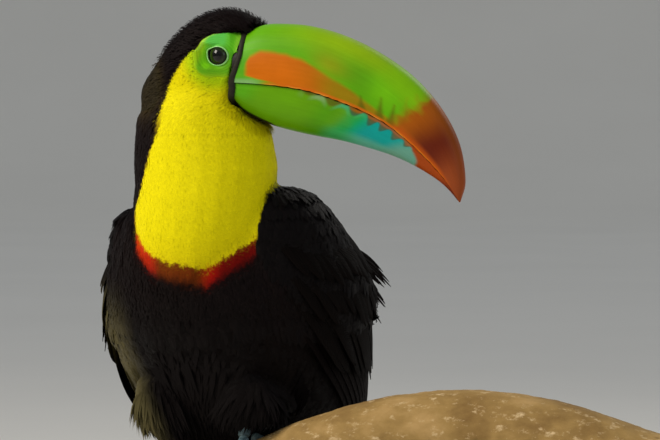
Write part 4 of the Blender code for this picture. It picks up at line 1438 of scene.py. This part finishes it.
def feather_material():
    """Flight feathers: close black barbs with a soft bluish brown gloss and a raised shaft."""
    material, tree, shader = new_material("black_flight_feather", Roughness=0.68, IOR=1.54,
                                          Specular_IOR_Level=0.025)
    marking = add(tree, 'VertexColor', layer_name="Marking")
    where = add(tree, 'UVMap', uv_map="Vane")
    parts = add(tree, 'SeparateXYZ', {}, {"Vector": where})
    side = add(tree, 'Math', {1: 0.5}, {0: parts.outputs["X"]}, operation='SUBTRACT')
    fold = add(tree, 'Math', {}, {0: side}, operation='ABSOLUTE')
    slant = add(tree, 'Math', {1: -0.55}, {0: fold, 2: parts.outputs["Y"]}, operation='MULTIPLY_ADD')
    turns = add(tree, 'Math', {1: 70.0}, {0: slant}, operation='MULTIPLY')
    barbs = add(tree, 'Math', {}, {0: turns}, operation='SINE')
    shaft = add(tree, 'MapRange', {"From Min": 0.0, "From Max": 0.05, "To Min": 1.0, "To Max": 0.0},
                {"Value": fold})
    height = add(tree, 'Math', {1: 3.0}, {0: shaft, 2: barbs}, operation='MULTIPLY_ADD')
    bump = add(tree, 'Bump', {"Strength": 0.35, "Distance": 0.00025}, {"Height": height})
    shade = add(tree, 'MapRange', {"From Min": -1.0, "To Min": 0.8, "To Max": 1.15}, {"Value": barbs})
    tint = add(tree, 'MixRGB', {"Fac": 1.0}, {"Color1": marking, "Color2": shade}, blend_type='MULTIPLY')
    link(tree, shader, {"Base Color": tint, "Normal": bump})
    return material


# ---------------------------------------------------------------- bough, legs and feet

BOUGH_Y, BOUGH_RADIUS, BOUGH_FROM, BOUGH_TO = -75.0, 24.0, -72.0, 272.0
CREST_X, CREST_Z, CREST_SPREAD = 160.0, 241.0, 530.0
KNOT_X = 88.0
# Rings of a sawn end, from its edge inwards, as shares of the bough's radius
SAWN = (0.97, 0.75, 0.5, 0.25)
FOOT_X = {"left": 22.0, "right": -22.0}
TOE_RADIUS = 2.8
CLAW_LENGTH = 9.0
# Toes lie this far over the bough
GAP = 0.35
# Name, angle round the bough at root and end, place beside the foot's middle at root and end, in mm
TOES = (("inner_front", 12, 78, 3.2, 5.5), ("outer_front", 12, 88, -3.2, -7.0),
        ("inner_back", -12, -58, 3.2, 6.0), ("outer_back", -12, -74, -3.2, -6.5))


def bough_top(x):
    arch = CREST_Z - (x - CREST_X) ** 2 / CREST_SPREAD
    return 3.0 * np.logaddexp(arch / 3.0, (194 + 0.10 * x) / 3.0)


def bough_radius(x):
    return BOUGH_RADIUS * (1.0 - 0.35 * x * MM) + 1.6 * bell(x, KNOT_X, 16)


def on_bough(x, angle, clearance=0.0):
    """A point over the bough's surface; angle runs from the top towards the front."""
    x, angle = np.broadcast_arrays(np.asarray(x, float), np.asarray(angle, float))
    reach = bough_radius(x) + clearance
    middle = bough_top(x) - bough_radius(x)
    sway = BOUGH_Y + 5 * np.sin((x - 20) / 75)
    return np.stack([x, sway - np.sin(angle) * reach, middle + np.cos(angle) * reach], -1)


def bark_material():
    """Sun-bleached smooth bark: tan, flecked and rubbed pale; the sawn ends show year rings."""
    material, tree, shader = new_material("smooth_bark", Roughness=0.82, IOR=1.45, Specular_IOR_Level=0.25)
    where = add(tree, 'TexCoord').outputs["Object"]
    along = add(tree, 'Mapping', {"Scale": (1.0, 1.6, 1.6)}, {"Vector": where})
    patch = add(tree, 'TexNoise', {"Scale": 26.0, "Detail": 7.0, "Roughness": 0.62}, {"Vector": along})
    fleck = add(tree, 'TexNoise', {"Scale": 120.0, "Detail": 5.0, "Roughness": 0.7}, {"Vector": along})
    ramp = add(tree, 'ValToRGB', {}, {"Fac": patch})
    set_ramp(ramp, ((0.34, "#75592F"), (0.52, "#937644"), (0.70, "#AE8E5C")))
    light = add(tree, 'MapRange', {"From Min": 0.56, "From Max": 0.70}, {"Value": fleck})
    tint = add(tree, 'MixRGB', {"Color2": linear("#C8AE84")}, {"Fac": light, "Color1": ramp})
    pits = add(tree, 'TexVoronoi', {"Scale": 55.0}, {"Vector": along})
    spot = add(tree, 'MapRange', {"From Min": 0.03, "From Max": 0.12, "To Min": 0.55, "To Max": 0.0},
               {"Value": pits})
    speck = add(tree, 'MixRGB', {"Color2": linear("#5E4826")}, {"Fac": spot, "Color1": tint})
    cut = add(tree, 'Attribute', attribute_name="Cut").outputs["Fac"]
    ring = add(tree, 'Attribute', attribute_name="Ring").outputs["Fac"]
    turns = add(tree, 'Math', {1: 62.0}, {0: ring, 2: fleck}, operation='MULTIPLY_ADD')
    wave = add(tree, 'Math', {}, {0: turns}, operation='SINE')
    year = add(tree, 'MapRange', {"From Min": -1.0}, {"Value": wave})
    wood = add(tree, 'MixRGB', {"Color1": linear("#A9793F"), "Color2": linear("#DDBB82")}, {"Fac": year})
    final = add(tree, 'MixRGB', {}, {"Fac": cut, "Color1": speck, "Color2": wood})
    height = add(tree, 'Math', {1: 0.6}, {0: fleck, 2: patch}, operation='MULTIPLY_ADD')
    bump = add(tree, 'Bump', {"Strength": 0.5, "Distance": 0.0012}, {"Height": height})
    link(tree, shader, {"Base Color": final, "Normal": bump})
    return material


def make_bough(material):
    """Cut length of bough: shallow wrinkles and swellings, flatter under the feet, sawn ends."""
    rows, columns = 300, 110
    x = np.linspace(BOUGH_FROM, BOUGH_TO, rows)[:, None]
    angle = whole_turn(columns)
    flat = on_bough(x, angle).reshape(-1, 3)
    bark = 0.5 * wobble(flat * (1, 0.6, 0.6), 0.07)
    bark += 0.25 * wobble(flat, 0.22, 5.0) + 0.12 * wobble(flat, 0.6, 9.0)
    foot = sum(bell(x, foot_x, 14) for foot_x in FOOT_X.values())
    depth = (bark.reshape(rows, columns) - 0.35) * (1 - 0.75 * np.clip(foot, 0, 1)) * 1.1 - 0.1
    side = on_bough(x, angle, depth)
    ends = []
    for edge in (side[0], side[-1]):
        middle = edge.mean(0)
        saw_waves = [(0.15 * math.sin(share * 40) if share < 0.9 else 0.0, 0, 0) for share in SAWN]
        ends.append([middle + (edge - middle) * share + wave for share, wave in zip(SAWN, saw_waves)])
    rings = np.concatenate([ends[0][::-1], side, ends[1]])
    from_middle = np.repeat(np.concatenate([SAWN[::-1], np.zeros(rows), SAWN]), columns)
    piece = new_piece("bough", bird_to_world(with_caps(rings)), grid_triangles(len(rings), columns),
                      material, "bark", Cut=np.append(from_middle > 0, (1, 1)),
                      Ring=np.append(from_middle, (0, 0)))
    face_outward(piece, 50)
    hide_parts("perch")


def limb(name, path, radius, material, slot, replaced, sides=22):
    """A round limb of rings square to a path in mm, with a radius for each ring."""
    tangent = unit(np.gradient(path, axis=0))
    side = unit(np.cross(tangent[0], (0.31, 0.87, 0.37)))
    around = whole_turn(sides)[:, None]
    rings = []
    for point, heading, reach in zip(path, tangent, radius):
        side = unit(side - heading * (side @ heading))
        other = np.cross(heading, side)
        rings.append(point + (side * np.cos(around) + other * np.sin(around)) * reach)
    piece = new_piece(name, bird_to_world(with_caps(np.stack(rings))), grid_triangles(len(path), sides),
                      material, slot)
    face_outward(piece)
    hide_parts(replaced)


def scutes(share, count, height):
    """Ring scutes: each swells towards its lower edge and drops sharply."""
    phase = (share * count) % 1.0
    return 1 + height * (phase ** 1.6 - 0.4) - height * 1.2 * bell(phase, 1.0, 0.07)


def rounded_end(share, length):
    """Radius as a share of the full one, from 0 where share is 0 to 1 after length."""
    return np.minimum(1, np.sqrt(np.clip(share / length, 0.02, 1)))


def scale_material(name, light, dark, roughness, scale):
    """Leg skin and claws: horny blue-grey or black, with dusted edges and fine pebbling."""
    material, tree, shader = new_material(name, Roughness=roughness, IOR=1.5)
    where = add(tree, 'TexCoord').outputs["Object"]
    pebble = add(tree, 'TexVoronoi', {"Scale": scale}, {"Vector": where})
    cloud = add(tree, 'TexNoise', {"Scale": scale / 4, "Detail": 4.0}, {"Vector": where})
    mixed = add(tree, 'Math', {}, {0: pebble, 1: cloud}, operation='MULTIPLY')
    spread = add(tree, 'MapRange', {"From Max": 0.5}, {"Value": mixed})
    tint = add(tree, 'MixRGB', {"Color1": linear(light), "Color2": linear(dark)}, {"Fac": spread})
    bump = add(tree, 'Bump', {"Strength": 0.5, "Distance": 0.0003}, {"Height": pebble})
    link(tree, shader, {"Base Color": tint, "Normal": bump})
    return material


def make_toe(name, foot_x, inward, start, end, near, far, skin_of_leg, horn):
    """One toe lying round the bough, and its claw curving on from it."""
    def on_toe(share):
        beside = (near + (far - near) * share) * inward
        return on_bough(foot_x + beside, np.radians(start + (end - start) * share), TOE_RADIUS + GAP)

    share = np.linspace(0, 1, 90)
    knuckle = 0.22 * np.cos(share * 6 * math.pi)
    radius = (TOE_RADIUS * (1 - 0.22 * share) + knuckle) * scutes(share, 13, 0.07)
    radius = radius * rounded_end(share, 0.04) * rounded_end(1 - share, 0.05)
    limb("digit_" + name, on_toe(share), radius, skin_of_leg, "foot_skin", "toe_" + name)
    tip = on_toe(1.0)
    heading = unit(tip - on_toe(0.8))
    inside = unit(on_bough(tip[0], math.radians(end)) - tip)
    share = np.linspace(0, 1, 26)
    curl = 1.4 * share ** 2 - 1.3 * np.sin(share * math.pi)
    claw = tip + heading * (-0.6 + (CLAW_LENGTH + 1.4) * share)[:, None] + inside * curl[:, None]
    radius = np.interp(share, (0, 0.15, 0.6, 1), (1.5, 1.85, 1.1, 0.12))
    limb("nail_" + name, claw, radius, horn, "claw_horn", "claw_" + name, sides=14)


def make_feet():
    skin_of_leg = scale_material("blue_grey_scutes", "#7F9AA0", "#3F5860", 0.55, 700.0)
    horn = scale_material("dark_claw_horn", "#2B2723", "#15120F", 0.32, 260.0)
    for side, foot_x in FOOT_X.items():
        share = np.linspace(0, 0.98, 70)
        radius = np.interp(share, (0.0, 0.05, 0.12, 0.35, 0.6, 0.98), (1.6, 2.9, 3.7, 3.2, 3.0, 3.2))
        pad = on_bough(foot_x, 0.0, TOE_RADIUS + 1.4)
        path = pad + np.array((0, 1.0, 17.0)) * share[:, None]
        radius = radius * scutes(share, 7, 0.09)
        limb("tarsus_" + side, path, radius, skin_of_leg, "foot_skin", "shank_" + side)
        for toe, *run in TOES:
            make_toe("%s_%s" % (toe, side), foot_x, -MIRROR[side], *run, skin_of_leg, horn)


# ---------------------------------------------------------------- stand

def lacquer_material():
    """Black lacquered wood: satin, with the long grain just showing through."""
    return two_tone_material("black_lacquered_wood", ("#121214", "#222123"), 'TexNoise',
                             {"Scale": 4.0, "Detail": 6.0}, (6.0, 70.0, 70.0), (0.12, 0.0003),
                             Roughness=0.36, IOR=1.5, Coat_Weight=0.25, Coat_Roughness=0.2)


def steel_material():
    """Brushed steel: fine rings round the rods spread the light along them."""
    return two_tone_material("brushed_steel", ("#A6A7A8", "#C4C5C6"), 'TexNoise',
                             {"Scale": 1.0, "Detail": 3.0}, (120.0, 120.0, 2400.0), rough=(0.24, 0.4),
                             Metallic=1.0, Roughness=0.3)


def make_stand(lacquer, steel):
    """Finishes of the base and rods, and a washer where each rod leaves the base."""
    for name, material in (("stand_base", lacquer), ("stand_rod_1", steel), ("stand_rod_2", steel)):
        nodes[name].data.materials.clear()
        nodes[name].data.materials.append(material)
    thickness = 0.0035
    for number in (1, 2):
        low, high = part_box("stand_rod_%d" % number)
        place = ((low[0] + high[0]) / 2, (low[1] + high[1]) / 2, low[2] + thickness / 2)
        bpy.ops.object.select_all(action='DESELECT')
        bpy.ops.mesh.primitive_cylinder_add(vertices=48, radius=0.0095, depth=thickness, location=place)
        washer = bpy.context.object
        washer.name = washer.data.name = "rod_washer_%d" % number
        bpy.ops.object.transform_apply(location=True, rotation=True, scale=True)
        apply_modifier(washer, 'BEVEL', width=0.0008, segments=3)
        washer.data.shade_smooth()
        washer.data.set_sharp_from_angle(angle=math.radians(40))
        washer.data.materials.append(steel)
        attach(washer, "root")


make_camera()
make_floor(plaster_material())
make_lights()
make_plumage(make_skin(skin_material()))
make_bill(horn_material())
make_collar(dark_rim_material())
moist, lid_skin = eye_material(), lid_material()
for side in SIDES:
    make_eye(side, moist)
    make_lid(side, lid_skin)
long_feather = feather_material()
for side in SIDES:
    make_wing_feathers(side, long_feather)
    make_plumes(side, long_feather)
make_tail(long_feather)
make_bough(bark_material())
make_feet()
make_stand(lacquer_material(), steel_material())
